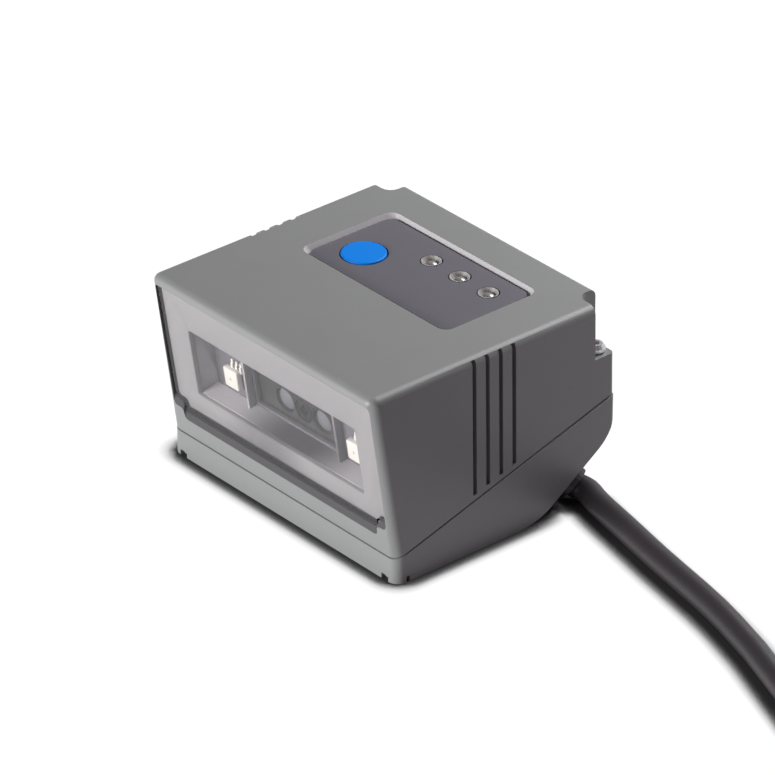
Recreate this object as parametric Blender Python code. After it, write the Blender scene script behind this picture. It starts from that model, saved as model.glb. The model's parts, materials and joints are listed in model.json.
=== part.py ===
"""Fixed barcode reader, a compact two-shell imager for mounting on a machine.

Units are metres, +Z is up. The origin is at the middle of the footprint, on the
surface that the reader stands on. The window faces -Y and leans forward, and the
cable leaves the sloping rear of the underside near the +X side.
"""

import math

import bmesh
import bpy
from mathutils import Matrix, Vector

# Driving sizes of the housing, which the rest follows
HEIGHT = 0.0425
BASE_HALF_WIDTH = 0.034
BACK_Y = 0.031
TOP_FRONT_Y = -0.031
FRONT_LEAN = math.radians(9.0)
SIDE_DRAFT = math.radians(1.05)
TOP_EDGE_RADIUS = 0.0017
FRONT_CORNER_RADIUS = 0.0022
REAR_CORNER_RADIUS = 0.001
WALL = 0.002
GAP = 0.0003

# Parting line between the two shells
PARTING_FRONT_Z = 0.00535
PARTING_ANGLE = math.radians(16.0)
PARTING_GAP = 0.0004
LIP_THICKNESS = 0.0012
LIP_HEIGHT = 0.0015

# Lower shell profile
BASE_FRONT_Y = -0.0252
SLOPE_START_Y = 0.0113
SLOPE_ANGLE = math.radians(34.3)
SLOPE_BEND_RADIUS = 0.014
REAR_BEND_RADIUS = 0.0095
FRONT_NOTCH_X = BASE_HALF_WIDTH - 0.0034
FRONT_NOTCH_WIDTH = 0.002
FRONT_NOTCH_HEIGHT = 0.0012
FRONT_NOTCH_DEPTH = 0.001
SIDE_NOTCH_Y = -0.0222
SIDE_NOTCH_WIDTH = 0.0008

# Window in the leaning front, measured down the face from its top edge
FACE_LENGTH = (HEIGHT - PARTING_FRONT_Z) / math.cos(FRONT_LEAN)
WINDOW_JAMB = 0.0019
WINDOW_TOP = 0.002
WINDOW_RAIL = 0.0056
WINDOW_HALF_WIDTH = BASE_HALF_WIDTH - WINDOW_JAMB
WINDOW_BOTTOM = FACE_LENGTH - WINDOW_RAIL
WINDOW_STEP_HALF_WIDTH = WINDOW_HALF_WIDTH - 0.0029
WINDOW_STEP = 0.0024
WINDOW_CORNER_RADIUS = 0.001
SILL_DROP = 0.0014
SILL_DEPTH = 0.0005
PANE_DEPTH = 0.0005
PANE_THICKNESS = 0.0009
BEZEL_THICKNESS = 0.0012
BEZEL_OPENING_HALF_WIDTH = WINDOW_HALF_WIDTH - 0.0071
BEZEL_OPENING_TOP = WINDOW_TOP + 0.0088
BEZEL_OPENING_BOTTOM = WINDOW_BOTTOM - 0.0057
BEZEL_OPENING_RADIUS = 0.003

# Grip grooves in both sides
GROOVE_COUNT = 4
GROOVE_FIRST_Y = -0.0051
GROOVE_PITCH = 0.00337
GROOVE_WIDTH = 0.001
GROOVE_DEPTH = 0.0011
GROOVE_ABOVE_PARTING = 0.0015
GROOVE_TOP_STOP = 0.0005
RUNOUT_WIDTH = 0.001
RUNOUT_DEPTH = 0.0021
RUNOUT_HEIGHT = 0.0012

# Rear corner pockets with the housing screws
POCKET_X = BASE_HALF_WIDTH - 0.0062
POCKET_Y = BACK_Y - 0.0050
POCKET_DEPTH = 0.0118
POCKET_RADIUS = 0.0024
SCREW_X = BASE_HALF_WIDTH - 0.0032
SCREW_Y = BACK_Y - 0.0024
SCREW_HEAD_RADIUS = 0.0019
SCREW_HEAD_HEIGHT = 0.0015
SCREW_SHANK_RADIUS = 0.0011
SCREW_LENGTH = 0.0145
SCREW_POINT = 0.001
SCREW_DRIVE_RADIUS = 0.0009
SCREW_DRIVE_DEPTH = 0.0009

# Control panel in the top
PANEL_HALF_WIDTH = 0.0218
PANEL_FRONT_Y = -0.0025
PANEL_BACK_Y = 0.0216
PANEL_DEPTH = 0.0014
PANEL_BEVEL = 0.0007
PANEL_RADIUS = 0.0022
PANEL_FLOOR = 0.0018
OVERLAY_THICKNESS = 0.0004
KEY_X = -0.0130
KEY_Y = 0.00675
KEY_RADIUS = 0.0046
KEY_RISE = 0.0003
KEY_EDGE = 0.0002
KEY_TRAVEL = 0.0004
KEY_FLANGE_WIDTH = 0.0008
KEY_FLANGE_THICKNESS = 0.0008
LENS_COUNT = 3
LENS_FIRST_X = -0.0021
LENS_PITCH = 0.0084
LENS_Y = 0.0148
LENS_RADIUS = 0.00205
LENS_STEM_RADIUS = 0.0016
LENS_DISH_RADIUS = 0.0014
LENS_DISH_DEPTH = 0.0006
LENS_XS = [LENS_FIRST_X + number * LENS_PITCH for number in range(LENS_COUNT)]

# Switch board under the panel
SWITCH_HALF = 0.003
SWITCH_HEIGHT = 0.0035
PLUNGER_RADIUS = 0.0015
PLUNGER_LENGTH = 0.0016
PLUNGER_SINK = 0.0007
KEY_BOARD_THICKNESS = 0.0012
KEY_BOARD_HALF_WIDTH = 0.0205
KEY_BOARD_FRONT_Y = -0.0025
KEY_BOARD_BACK_Y = 0.0213
POST_RADIUS = 0.0015
STATUS_LED_SIZE = (0.002, 0.0012, 0.0008)

# Optics, with depths measured square to the front face
CHASSIS_HALF_WIDTH = BASE_HALF_WIDTH - WALL - 0.0045
CHASSIS_TOP = WINDOW_TOP + 0.0045
CHASSIS_BOTTOM = WINDOW_BOTTOM - 0.0015
CHASSIS_DEPTH = 0.0195
LAMP_BOARD_DEPTH = 0.0071
LAMP_BOARD_THICKNESS = 0.001
LAMP_X = CHASSIS_HALF_WIDTH * 0.676
LAMP_S = WINDOW_BOTTOM - 0.0104
LAMP_WIDTH = 0.0041
LAMP_HEIGHT = 0.0045
LAMP_THICKNESS = 0.0014
LAMP_CORNER_RADIUS = 0.0004
LAMP_LEAD_COUNT = 3
LAMP_LEAD_LENGTH = 0.0014
RIB_X = CHASSIS_HALF_WIDTH * 0.495
RIB_THICKNESS = 0.0006
AIMER_X = 0.0056
AIMER_RADIUS = 0.0024
AIMER_LENGTH = 0.0028
OPTIC_S = WINDOW_BOTTOM - 0.0098
BARREL_RADIUS = 0.0023
BARREL_DEPTH = 0.0085
BARREL_LENGTH = 0.0085
BARREL_LIP = 0.0012
APERTURE_RADIUS = 0.0011
CAMERA_LENS_RADIUS = 0.0016
CAMERA_LENS_THICKNESS = 0.0016
LENS_CROWN = 0.0008
IMAGER_BOARD_SIZE = 0.016
IMAGER_BOARD_THICKNESS = 0.001
SENSOR_SIZE = 0.006
SENSOR_THICKNESS = 0.0008

# Main board and what it carries
BOARD_Z = 0.0135
BOARD_THICKNESS = 0.0016
BOARD_HALF_WIDTH = BASE_HALF_WIDTH - 0.0075
BOARD_FRONT_Y = -0.0025
BOARD_BACK_Y = BACK_Y - 0.0075
BOARD_CORNER_RADIUS = 0.0015
BOARD_POST_X = BOARD_HALF_WIDTH - 0.004
BOARD_POST_YS = (0.002, BOARD_BACK_Y - 0.004)
CHIP_SIZE = 0.012
CHIP_HEIGHT = 0.0014
BEEPER_RADIUS = 0.0045
BEEPER_HEIGHT = 0.0036
CONNECTOR_SIZE = (0.009, 0.0055, 0.005)
CONNECTOR_WALL = 0.0008
RIBBON_WIDTH = 0.008
RIBBON_THICKNESS = 0.0003

# Threaded inserts in the underside
INSERT_X = 0.0185
INSERT_Y = -0.0095
INSERT_RADIUS = 0.0023
INSERT_BORE_RADIUS = 0.00125
INSERT_LENGTH = 0.0048
BOSS_WALL = 0.0014

# Cable and its strain relief
CABLE_RADIUS = 0.0026
OUTLET = Vector((BASE_HALF_WIDTH - 0.0024, BACK_Y - 0.0085, 0.0034))
OUTLET_AXIS = Vector((0.62, 0.45, -0.64)).normalized()
COLLAR_RADIUS = 0.0036
COLLAR_LENGTH = 0.0014
NECK_RADIUS = 0.003
NECK_LENGTH = 0.0095
CABLE_INSERTION = 0.004
FLOOR_CLEARANCE = 0.00005

# Tied coil: three turns across and three high, with room for the tie's pull
COIL_CENTRE = (0.142, 0.029)
COIL_MIDDLE_RADIUS = 0.0302
COIL_TURNS = 3
COIL_ROUNDING = 0.004
COIL_BAND = 2.0 * CABLE_RADIUS * COIL_TURNS
COIL_INNER_RADIUS = COIL_MIDDLE_RADIUS - COIL_BAND / 2.0
COIL_OUTER_RADIUS = COIL_MIDDLE_RADIUS + COIL_BAND / 2.0
COIL_ENTRY = math.radians(-108.0)
TIE_THICKNESS = 0.0008
TIE_WIDTH = 0.004
TIE_ANGLE = math.radians(-60.0)

# Plug, lying across the coil
PLUG_REAR_X = COIL_CENTRE[0] - 0.002
PLUG_LENGTH = 0.026
PLUG_WIDTH = 0.0155
PLUG_HEIGHT = 0.0078
PLUG_BOOT_LENGTH = 0.006
PLUG_EDGE_RADIUS = 0.0015
SHELL_LENGTH = 0.0118
SHELL_WIDTH = 0.012
SHELL_HEIGHT = 0.0045
SHELL_WALL = 0.0005
SHELL_EDGE_RADIUS = 0.0004

ROUND_STEPS = 24
SMALL_STEPS = 16


# Materials

def linear(hex_colour):
    """Turn an sRGB hex colour into linear red, green, blue and alpha."""
    channels = [int(hex_colour[i:i + 2], 16) / 255.0 for i in (0, 2, 4)]
    curved = [c / 12.92 if c <= 0.04045 else ((c + 0.055) / 1.055) ** 2.4 for c in channels]
    return (*curved, 1.0)


def material(name, hex_colour, roughness, metallic=0.0, transmission=0.0):
    """Return the named Principled material, made once and shared."""
    found = bpy.data.materials.get(name)
    if found:
        return found
    made = bpy.data.materials.new(name)
    made.use_nodes = True
    shader = made.node_tree.nodes["Principled BSDF"]
    shader.inputs["Base Color"].default_value = linear(hex_colour)
    shader.inputs["Roughness"].default_value = roughness
    shader.inputs["Metallic"].default_value = metallic
    shader.inputs["Transmission Weight"].default_value = transmission
    made.diffuse_color = linear(hex_colour)
    return made


# Outlines in a plane

def filleted(corners, radii, steps=5):
    """Round each corner of a closed outline by its own radius."""
    points = []
    count = len(corners)
    for index, (corner, radius) in enumerate(zip(corners, radii)):
        here = Vector(corner)
        to_last = (Vector(corners[index - 1]) - here).normalized()
        to_next = (Vector(corners[(index + 1) % count]) - here).normalized()
        if radius <= 0.0:
            points.append(tuple(here))
            continue
        half = to_last.angle(to_next) / 2.0
        start = here + to_last * (radius / math.tan(half))
        end = here + to_next * (radius / math.tan(half))
        centre = here + (to_last + to_next).normalized() * (radius / math.sin(half))
        arm = start - centre
        sweep = arm.angle_signed(end - centre)
        for step in range(steps + 1):
            turn = -sweep * step / steps
            points.append((
                centre.x + arm.x * math.cos(turn) - arm.y * math.sin(turn),
                centre.y + arm.x * math.sin(turn) + arm.y * math.cos(turn),
            ))
    return points


def inset(corners, distance):
    """Move every side of a closed counter-clockwise outline inward."""
    moved = []
    count = len(corners)
    for index, corner in enumerate(corners):
        before = (Vector(corner) - Vector(corners[index - 1])).normalized()
        after = (Vector(corners[(index + 1) % count]) - Vector(corner)).normalized()
        normal_a = Vector((-before.y, before.x))
        normal_b = Vector((-after.y, after.x))
        bisector = (normal_a + normal_b) / (1.0 + normal_a.dot(normal_b))
        moved.append(tuple(Vector(corner) + bisector * distance))
    return moved


def rectangle(x_low, x_high, y_low, y_high, radius=0.0, steps=4):
    """Return a rectangle's outline, with rounded corners where a radius is given."""
    corners = [(x_low, y_low), (x_high, y_low), (x_high, y_high), (x_low, y_high)]
    return filleted(corners, [radius] * 4, steps)


def circle(radius, steps=ROUND_STEPS, centre=(0.0, 0.0)):
    """Return a circle's outline."""
    angles = [2.0 * math.pi * step / steps for step in range(steps)]
    return [(centre[0] + radius * math.cos(a), centre[1] + radius * math.sin(a)) for a in angles]


# Solids

def finish(name, shape, finish_material, smooth=False, parent=None):
    """Turn a bmesh into a named object with outward faces."""
    bmesh.ops.recalc_face_normals(shape, faces=shape.faces)
    mesh = bpy.data.meshes.new(name)
    shape.to_mesh(mesh)
    shape.free()
    if smooth:
        mesh.shade_smooth()
        mesh.set_sharp_from_angle(angle=math.radians(35.0))
    made = bpy.data.objects.new(name, mesh)
    bpy.context.scene.collection.objects.link(made)
    if finish_material:
        mesh.materials.append(finish_material)
    if parent:
        made.parent = parent
    return made


def add_loft(shape, sections):
    """Add a closed skin through equal-length loops of points."""
    loops = [[shape.verts.new(point) for point in section] for section in sections]
    for lower, upper in zip(loops, loops[1:]):
        for index, vertex in enumerate(lower):
            after = (index + 1) % len(lower)
            shape.faces.new((vertex, lower[after], upper[after], upper[index]))
    shape.faces.new(loops[0][::-1])
    shape.faces.new(loops[-1])


def loft(sections):
    """Return a bmesh with one lofted solid."""
    shape = bmesh.new()
    add_loft(shape, sections)
    return shape


def prism(outline, low, high, axis="Z"):
    """Extrude an outline along X, Y or Z between two positions."""
    place = {
        "X": lambda u, v, w: (w, u, v),
        "Y": lambda u, v, w: (u, w, v),
        "Z": lambda u, v, w: (u, v, w),
    }[axis]
    return loft([[place(u, v, w) for u, v in outline] for w in (low, high)])


def turned(profile, steps=ROUND_STEPS):
    """Spin a closed (radius, height) profile about Z."""
    shape = bmesh.new()
    points = [shape.verts.new((radius, 0.0, height)) for radius, height in profile]
    edges = [shape.edges.new((a, b)) for a, b in zip(points, points[1:])]
    if all(radius > 0.0 for radius, _ in profile):
        edges.append(shape.edges.new((points[-1], points[0])))
    bmesh.ops.spin(
        shape,
        geom=points + edges,
        cent=(0.0, 0.0, 0.0),
        axis=(0.0, 0.0, 1.0),
        angle=2.0 * math.pi,
        steps=steps,
        use_merge=True,
    )
    bmesh.ops.remove_doubles(shape, verts=shape.verts, dist=1e-7)
    return shape


def box(name, x_range, y_range, z_range, finish_material, parent=None):
    """Return a plain block between six planes."""
    return finish(name, prism(rectangle(*x_range, *y_range), *z_range), finish_material, parent=parent)


def cutter(made):
    """Mark an object as a tool that is left out of the build."""
    made.hide_render = True
    made.display_type = "WIRE"
    return made


def combine(target, tool, operation="DIFFERENCE"):
    """Cut, join or intersect a target with a tool object."""
    cutter(tool)
    modifier = target.modifiers.new(tool.name, "BOOLEAN")
    modifier.operation = operation
    modifier.solver = "EXACT"
    modifier.object = tool
    return target


def along(origin, direction):
    """Return a matrix that takes +Z to a direction, from an origin."""
    turn = Vector((0.0, 0.0, 1.0)).rotation_difference(direction)
    return Matrix.Translation(origin) @ turn.to_matrix().to_4x4()


# Shell outlines

def parting_z(y, offset=0.0):
    """Height of the inclined parting plane at a depth y."""
    return PARTING_FRONT_Z + math.tan(PARTING_ANGLE) * (y - BASE_FRONT_Y) + offset


def front_y(z, depth=0.0):
    """Front face position at a height, moved inward by a depth."""
    return TOP_FRONT_Y + (HEIGHT - z) * math.tan(FRONT_LEAN) + depth / math.cos(FRONT_LEAN)


def half_width(z):
    """Half width of the upper shell at a height, narrower above its foot by the draft."""
    return BASE_HALF_WIDTH - (z - PARTING_FRONT_Z) * math.tan(SIDE_DRAFT)


def plan_outline(side, front, back, shrink=0.0, steps=4):
    """Plan of a shell, with its own radius at the front and at the rear corners."""
    corners = [(-side, front), (side, front), (side, back), (-side, back)]
    front_radius = max(FRONT_CORNER_RADIUS - shrink, WALL / 4.0)
    rear_radius = max(REAR_CORNER_RADIUS - shrink, WALL / 8.0)
    return filleted(corners, [front_radius, front_radius, rear_radius, rear_radius], steps)


def upper_section(z, distance, shrink=0.0):
    """Horizontal section of the upper shell, inset by a distance."""
    outline = plan_outline(half_width(z) - distance, front_y(z, distance), BACK_Y - distance, shrink)
    return [(x, y, z) for x, y in outline]


def band(low_offset, high_offset, half_span=0.05, margin=0.02):
    """Return a slab between two planes parallel to the parting plane."""
    y_low = BASE_FRONT_Y - margin
    y_high = BACK_Y + margin
    outline = [
        (y_low, parting_z(y_low, low_offset)),
        (y_high, parting_z(y_high, low_offset)),
        (y_high, parting_z(y_high, high_offset)),
        (y_low, parting_z(y_low, high_offset)),
    ]
    return prism(outline, -half_span, half_span, "X")


def underside(distance, front=0.0):
    """Side profile of the lower shell, inset by a distance."""
    back = BACK_Y + (0.00002 if distance == 0.0 else 0.0)
    rise = (back - SLOPE_START_Y) * math.tan(SLOPE_ANGLE)
    corners = [
        (BASE_FRONT_Y - front, 0.0),
        (SLOPE_START_Y, 0.0),
        (back, rise),
        (back, HEIGHT),
        (BASE_FRONT_Y - front, HEIGHT),
    ]
    radii = [0.0, SLOPE_BEND_RADIUS - distance, REAR_BEND_RADIUS - distance, 0.0, 0.0]
    return filleted(inset(corners, distance), radii, 8)


def floor_z(y):
    """Height of the underside at a depth y, ignoring its bends."""
    return max(0.0, (y - SLOPE_START_Y) * math.tan(SLOPE_ANGLE))


def corner_block(name, side, low, high):
    """Return the solid corner behind a rear pocket, a wall larger than the pocket."""
    x_range = sorted((side * (POCKET_X - WALL), side * (BASE_HALF_WIDTH + WALL)))
    outline = rectangle(*x_range, POCKET_Y - WALL, BACK_Y + WALL, POCKET_RADIUS)
    return finish(name, prism(outline, low, high), None)


def front_frame():
    """Empty on the top front edge, with Y inward and Z up the leaning face."""
    frame = bpy.data.objects.new("front_frame", None)
    bpy.context.scene.collection.objects.link(frame)
    frame.location = (0.0, TOP_FRONT_Y, HEIGHT)
    frame.rotation_euler = (FRONT_LEAN, 0.0, 0.0)
    return frame


def window_outline(clearance=0.0, drop=0.0):
    """Outline of the window, with a step at both lower ends, in x and face height."""
    wide = WINDOW_HALF_WIDTH - clearance
    narrow = WINDOW_STEP_HALF_WIDTH - clearance
    top = -WINDOW_TOP - clearance
    bottom = -WINDOW_BOTTOM - drop + clearance
    step = bottom + WINDOW_STEP
    corners = [
        (-narrow, bottom), (narrow, bottom), (narrow, step), (wide, step),
        (wide, top), (-wide, top), (-wide, step), (-narrow, step),
    ]
    return filleted(corners, [WINDOW_CORNER_RADIUS] * len(corners), 3)


def window_cut_sections():
    """Window opening from in front of the face, over its sloping sill, to behind the pane."""
    stages = (
        (-SILL_DEPTH, 2.0 * SILL_DROP),
        (SILL_DEPTH, 0.0),
        (PANE_DEPTH + PANE_THICKNESS + WALL, 0.0),
    )
    return [[(x, depth, s) for x, s in window_outline(0.0, drop)] for depth, drop in stages]


# Upper shell

def panel_sections(distance=0.0):
    """Sloping sides of the panel recess, from above the top down to its floor."""
    sections = []
    for z, spread in ((HEIGHT - PANEL_DEPTH, -PANEL_BEVEL),
                      (HEIGHT + PANEL_DEPTH, PANEL_BEVEL)):
        outline = rectangle(
            -PANEL_HALF_WIDTH - spread + distance,
            PANEL_HALF_WIDTH + spread - distance,
            PANEL_FRONT_Y - spread + distance,
            PANEL_BACK_Y + spread - distance,
            PANEL_RADIUS,
        )
        sections.append([(x, y, z) for x, y in outline])
    return sections


def panel_floor_outline(clearance=0.0):
    """Outline of the panel's floor, moved inward by a clearance."""
    return [(x, y) for x, y, _ in panel_sections(clearance)[0]]


def groove_y(index):
    """Return the middle of a groove, from the front."""
    return GROOVE_FIRST_Y + index * GROOVE_PITCH


def groove_cutter(index, side):
    """Return one upright groove from just above the parting line to the top edge."""
    sections = []
    for y in (groove_y(index) - GROOVE_WIDTH / 2.0, groove_y(index) + GROOVE_WIDTH / 2.0):
        z_low = parting_z(y, GROOVE_ABOVE_PARTING)
        z_high = HEIGHT - GROOVE_TOP_STOP
        sections.append([
            (side * (half_width(z_low) - GROOVE_DEPTH), y, z_low),
            (side * (half_width(z_low) + WALL), y, z_low),
            (side * (half_width(z_high) + WALL), y, z_high),
            (side * (half_width(z_high) - GROOVE_DEPTH), y, z_high),
        ])
    return cutter(finish(f"groove_{index}_{side:+d}", loft(sections), None))


def groove_runout(index):
    """Return the notch in which a left groove runs over the top edge."""
    return box(
        f"groove_runout_{index}",
        (-half_width(HEIGHT) - WALL, -half_width(HEIGHT) + RUNOUT_DEPTH),
        (groove_y(index) - RUNOUT_WIDTH / 2.0, groove_y(index) + RUNOUT_WIDTH / 2.0),
        (HEIGHT - RUNOUT_HEIGHT, HEIGHT + WALL), None)


def upper_housing(colour, frame):
    """Top shell: drafted sides, leaning front, window, panel, grooves and pockets."""
    sections = [upper_section(0.0, 0.0)]
    steps = 4
    for step in range(steps + 1):
        angle = math.pi / 2.0 * step / steps
        z = HEIGHT - TOP_EDGE_RADIUS * (1.0 - math.sin(angle))
        distance = TOP_EDGE_RADIUS * (1.0 - math.cos(angle))
        sections.append(upper_section(z, distance, distance))
    shell = finish("upper_housing", loft(sections), colour)

    ceiling = HEIGHT - WALL
    cavity = finish("upper_cavity", loft([
        upper_section(-WALL, WALL, WALL),
        upper_section(ceiling, WALL, WALL),
    ]), None)
    guard = finish("panel_guard", prism(
        [(x, y) for x, y, _ in panel_sections(-WALL)[0]],
        HEIGHT - PANEL_DEPTH - PANEL_FLOOR, HEIGHT + WALL,
    ), None)
    combine(cavity, guard)
    for side in (-1, 1):
        combine(cavity, corner_block(f"upper_corner_{side:+d}", side, -2.0 * WALL, HEIGHT + WALL))
    combine(shell, cavity)
    combine(shell, finish("below_parting", band(-HEIGHT, PARTING_GAP), None))

    rebate_side = BASE_HALF_WIDTH - WALL + GAP + LIP_THICKNESS / 4.0
    rebate = finish("lip_rebate", prism(rectangle(
        -rebate_side, rebate_side,
        BASE_FRONT_Y + WALL - GAP, BACK_Y - WALL + GAP + LIP_THICKNESS / 4.0,
        FRONT_CORNER_RADIUS / 2.0,
    ), -WALL, HEIGHT), None)
    combine(rebate, finish("rebate_band", band(-WALL, LIP_HEIGHT + GAP), None), "INTERSECT")
    for side in (-1, 1):
        combine(rebate, corner_block(f"rebate_corner_{side:+d}", side, -WALL, HEIGHT))
    combine(shell, rebate)

    combine(shell, finish("window_cut", loft(window_cut_sections()), None, parent=frame))

    for side in (-1, 1):
        for index in range(GROOVE_COUNT):
            combine(shell, groove_cutter(index, side))
            if side < 0:
                combine(shell, groove_runout(index))

        x_range = sorted((side * POCKET_X, side * (BASE_HALF_WIDTH + 2.0 * WALL)))
        pocket = finish(f"pocket_{side:+d}", prism(
            rectangle(*x_range, POCKET_Y, BACK_Y + 2.0 * WALL, POCKET_RADIUS),
            HEIGHT - POCKET_DEPTH, HEIGHT + WALL), None)
        combine(shell, pocket)
        hole = finish(f"screw_hole_{side:+d}", prism(
            circle(SCREW_SHANK_RADIUS + GAP, SMALL_STEPS, (side * SCREW_X, SCREW_Y)),
            -WALL, HEIGHT - POCKET_DEPTH + WALL), None)
        combine(shell, hole)

    combine(shell, finish("panel_recess", loft(panel_sections()), None))
    key_hole = circle(KEY_RADIUS + GAP, ROUND_STEPS, (KEY_X, KEY_Y))
    combine(shell, finish("key_hole", prism(key_hole, HEIGHT - 4.0 * WALL, HEIGHT), None))
    for number, x in enumerate(LENS_XS, start=1):
        lens_hole = circle(LENS_RADIUS + GAP, SMALL_STEPS, (x, LENS_Y))
        combine(shell, finish(f"lens_hole_{number}", prism(
            lens_hole, HEIGHT - 4.0 * WALL, HEIGHT), None))

    panel_under = HEIGHT - PANEL_DEPTH - PANEL_FLOOR
    for number, (x, y) in enumerate(key_board_posts(), start=1):
        post = finish(f"key_board_post_{number}", prism(
            circle(POST_RADIUS, 12, (x, y)),
            key_board_z()[1] + GAP, panel_under + PANEL_FLOOR / 2.0), None)
        combine(shell, post, "UNION")
    return shell


# Lower shell

def lower_housing(colour):
    """Base shell: flat foot, sloping rear underside, lip, bosses and posts."""
    shell = finish("lower_housing", prism(
        underside(0.0, WALL), -BASE_HALF_WIDTH - WALL, BASE_HALF_WIDTH + WALL, "X"), colour)
    column = finish("base_column", prism(
        plan_outline(BASE_HALF_WIDTH, BASE_FRONT_Y, BACK_Y), -WALL, HEIGHT + WALL), None)
    combine(shell, column, "INTERSECT")

    inner_side = BASE_HALF_WIDTH - WALL
    cavity = finish("lower_cavity", prism(underside(WALL), -inner_side, inner_side, "X"), None)
    for side in (-1, 1):
        combine(cavity, corner_block(f"lower_corner_{side:+d}", side, -WALL, HEIGHT + WALL))
    combine(shell, cavity)
    combine(shell, finish("above_parting", band(0.0, HEIGHT), None))

    lip_outer = BASE_HALF_WIDTH - WALL + LIP_THICKNESS / 4.0
    lip = finish("lip", prism(rectangle(
        -lip_outer, lip_outer,
        BASE_FRONT_Y + WALL, BACK_Y - WALL + LIP_THICKNESS / 4.0, FRONT_CORNER_RADIUS / 2.0,
    ), -WALL, HEIGHT), None)
    lip_core = finish("lip_core", prism(rectangle(
        -lip_outer + LIP_THICKNESS, lip_outer - LIP_THICKNESS,
        BASE_FRONT_Y + WALL + LIP_THICKNESS,
        BACK_Y - WALL + LIP_THICKNESS / 4.0 - LIP_THICKNESS, FRONT_CORNER_RADIUS / 3.0,
    ), -2.0 * WALL, HEIGHT + WALL), None)
    combine(lip, lip_core)
    combine(lip, finish("lip_band", band(-LIP_HEIGHT, LIP_HEIGHT), None), "INTERSECT")
    for side in (-1, 1):
        block = corner_block(f"lip_corner_{side:+d}", side, -WALL, HEIGHT)
        combine(lip, block)
    combine(shell, lip, "UNION")

    for side in (-1, 1):
        boss = finish(f"insert_boss_{side:+d}", prism(
            circle(INSERT_RADIUS + BOSS_WALL, SMALL_STEPS, (side * INSERT_X, INSERT_Y)),
            WALL / 2.0, INSERT_LENGTH + BOSS_WALL), None)
        combine(shell, boss, "UNION")
        for number, y in enumerate(BOARD_POST_YS, start=1):
            post = finish(f"board_post_{number}_{side:+d}", prism(
                circle(POST_RADIUS, 12, (side * BOARD_POST_X, y)),
                floor_z(y) + WALL / 2.0, BOARD_Z - GAP), None)
            combine(shell, post, "UNION")

        bore = finish(f"insert_bore_{side:+d}", prism(
            circle(INSERT_RADIUS + GAP, SMALL_STEPS, (side * INSERT_X, INSERT_Y)),
            -WALL, INSERT_LENGTH + 2.0 * GAP), None)
        combine(shell, bore)
        pilot = finish(f"screw_pilot_{side:+d}", prism(
            circle(SCREW_SHANK_RADIUS + GAP, SMALL_STEPS, (side * SCREW_X, SCREW_Y)),
            HEIGHT - POCKET_DEPTH - SCREW_LENGTH - 2.0 * GAP, HEIGHT), None)
        combine(shell, pilot)

        x_range = (side * FRONT_NOTCH_X - FRONT_NOTCH_WIDTH / 2.0,
                   side * FRONT_NOTCH_X + FRONT_NOTCH_WIDTH / 2.0)
        notch = box(f"front_notch_{side:+d}", x_range,
                    (BASE_FRONT_Y - WALL, BASE_FRONT_Y + FRONT_NOTCH_DEPTH),
                    (-WALL, FRONT_NOTCH_HEIGHT), None)
        combine(shell, notch)
        x_range = sorted((side * (BASE_HALF_WIDTH - FRONT_NOTCH_DEPTH),
                          side * (BASE_HALF_WIDTH + WALL)))
        nick = box(f"side_notch_{side:+d}", x_range,
                   (SIDE_NOTCH_Y - SIDE_NOTCH_WIDTH / 2.0, SIDE_NOTCH_Y + SIDE_NOTCH_WIDTH / 2.0),
                   (-WALL, FRONT_NOTCH_HEIGHT), None)
        combine(shell, nick)

    gland_bore = finish("gland_bore", prism(
        circle(NECK_RADIUS + GAP, SMALL_STEPS), -NECK_LENGTH - 2.0 * WALL, WALL), None)
    gland_bore.matrix_world = along(OUTLET, OUTLET_AXIS)
    combine(shell, gland_bore)
    collar_seat = finish("collar_seat", prism(
        circle(COLLAR_RADIUS + GAP, ROUND_STEPS), -COLLAR_LENGTH - GAP, WALL), None)
    collar_seat.matrix_world = along(OUTLET, OUTLET_AXIS)
    combine(shell, collar_seat)
    return shell


# Window and optics

def place_on_axis(made, frame, x, s, depth):
    """Put a turned piece on the front frame with its axis pointing inward."""
    made.parent = frame
    made.location = (x, depth, -s)
    made.rotation_euler = (-math.pi / 2.0, 0.0, 0.0)
    return made


def window_parts(frame):
    """Clear pane in the opening and the light baffle frame behind it."""
    glass = material("window_acrylic", "E8EAEC", 0.05, transmission=0.9)
    finish("window_pane", prism(
        window_outline(GAP), PANE_DEPTH, PANE_DEPTH + PANE_THICKNESS, "Y"), glass, parent=frame)

    depth = PANE_DEPTH + PANE_THICKNESS + GAP
    pale = material("bezel_pale_grey", "B9B7B9", 0.6)
    bezel = finish("window_bezel", prism(
        window_outline(GAP), depth, depth + BEZEL_THICKNESS, "Y"), pale, parent=frame)
    opening = finish("bezel_opening", prism(rectangle(
        -BEZEL_OPENING_HALF_WIDTH, BEZEL_OPENING_HALF_WIDTH,
        -BEZEL_OPENING_BOTTOM, -BEZEL_OPENING_TOP, BEZEL_OPENING_RADIUS),
        depth - WALL, depth + BEZEL_THICKNESS + WALL, "Y"), None, parent=frame)
    combine(bezel, opening)
    return depth + BEZEL_THICKNESS


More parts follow.
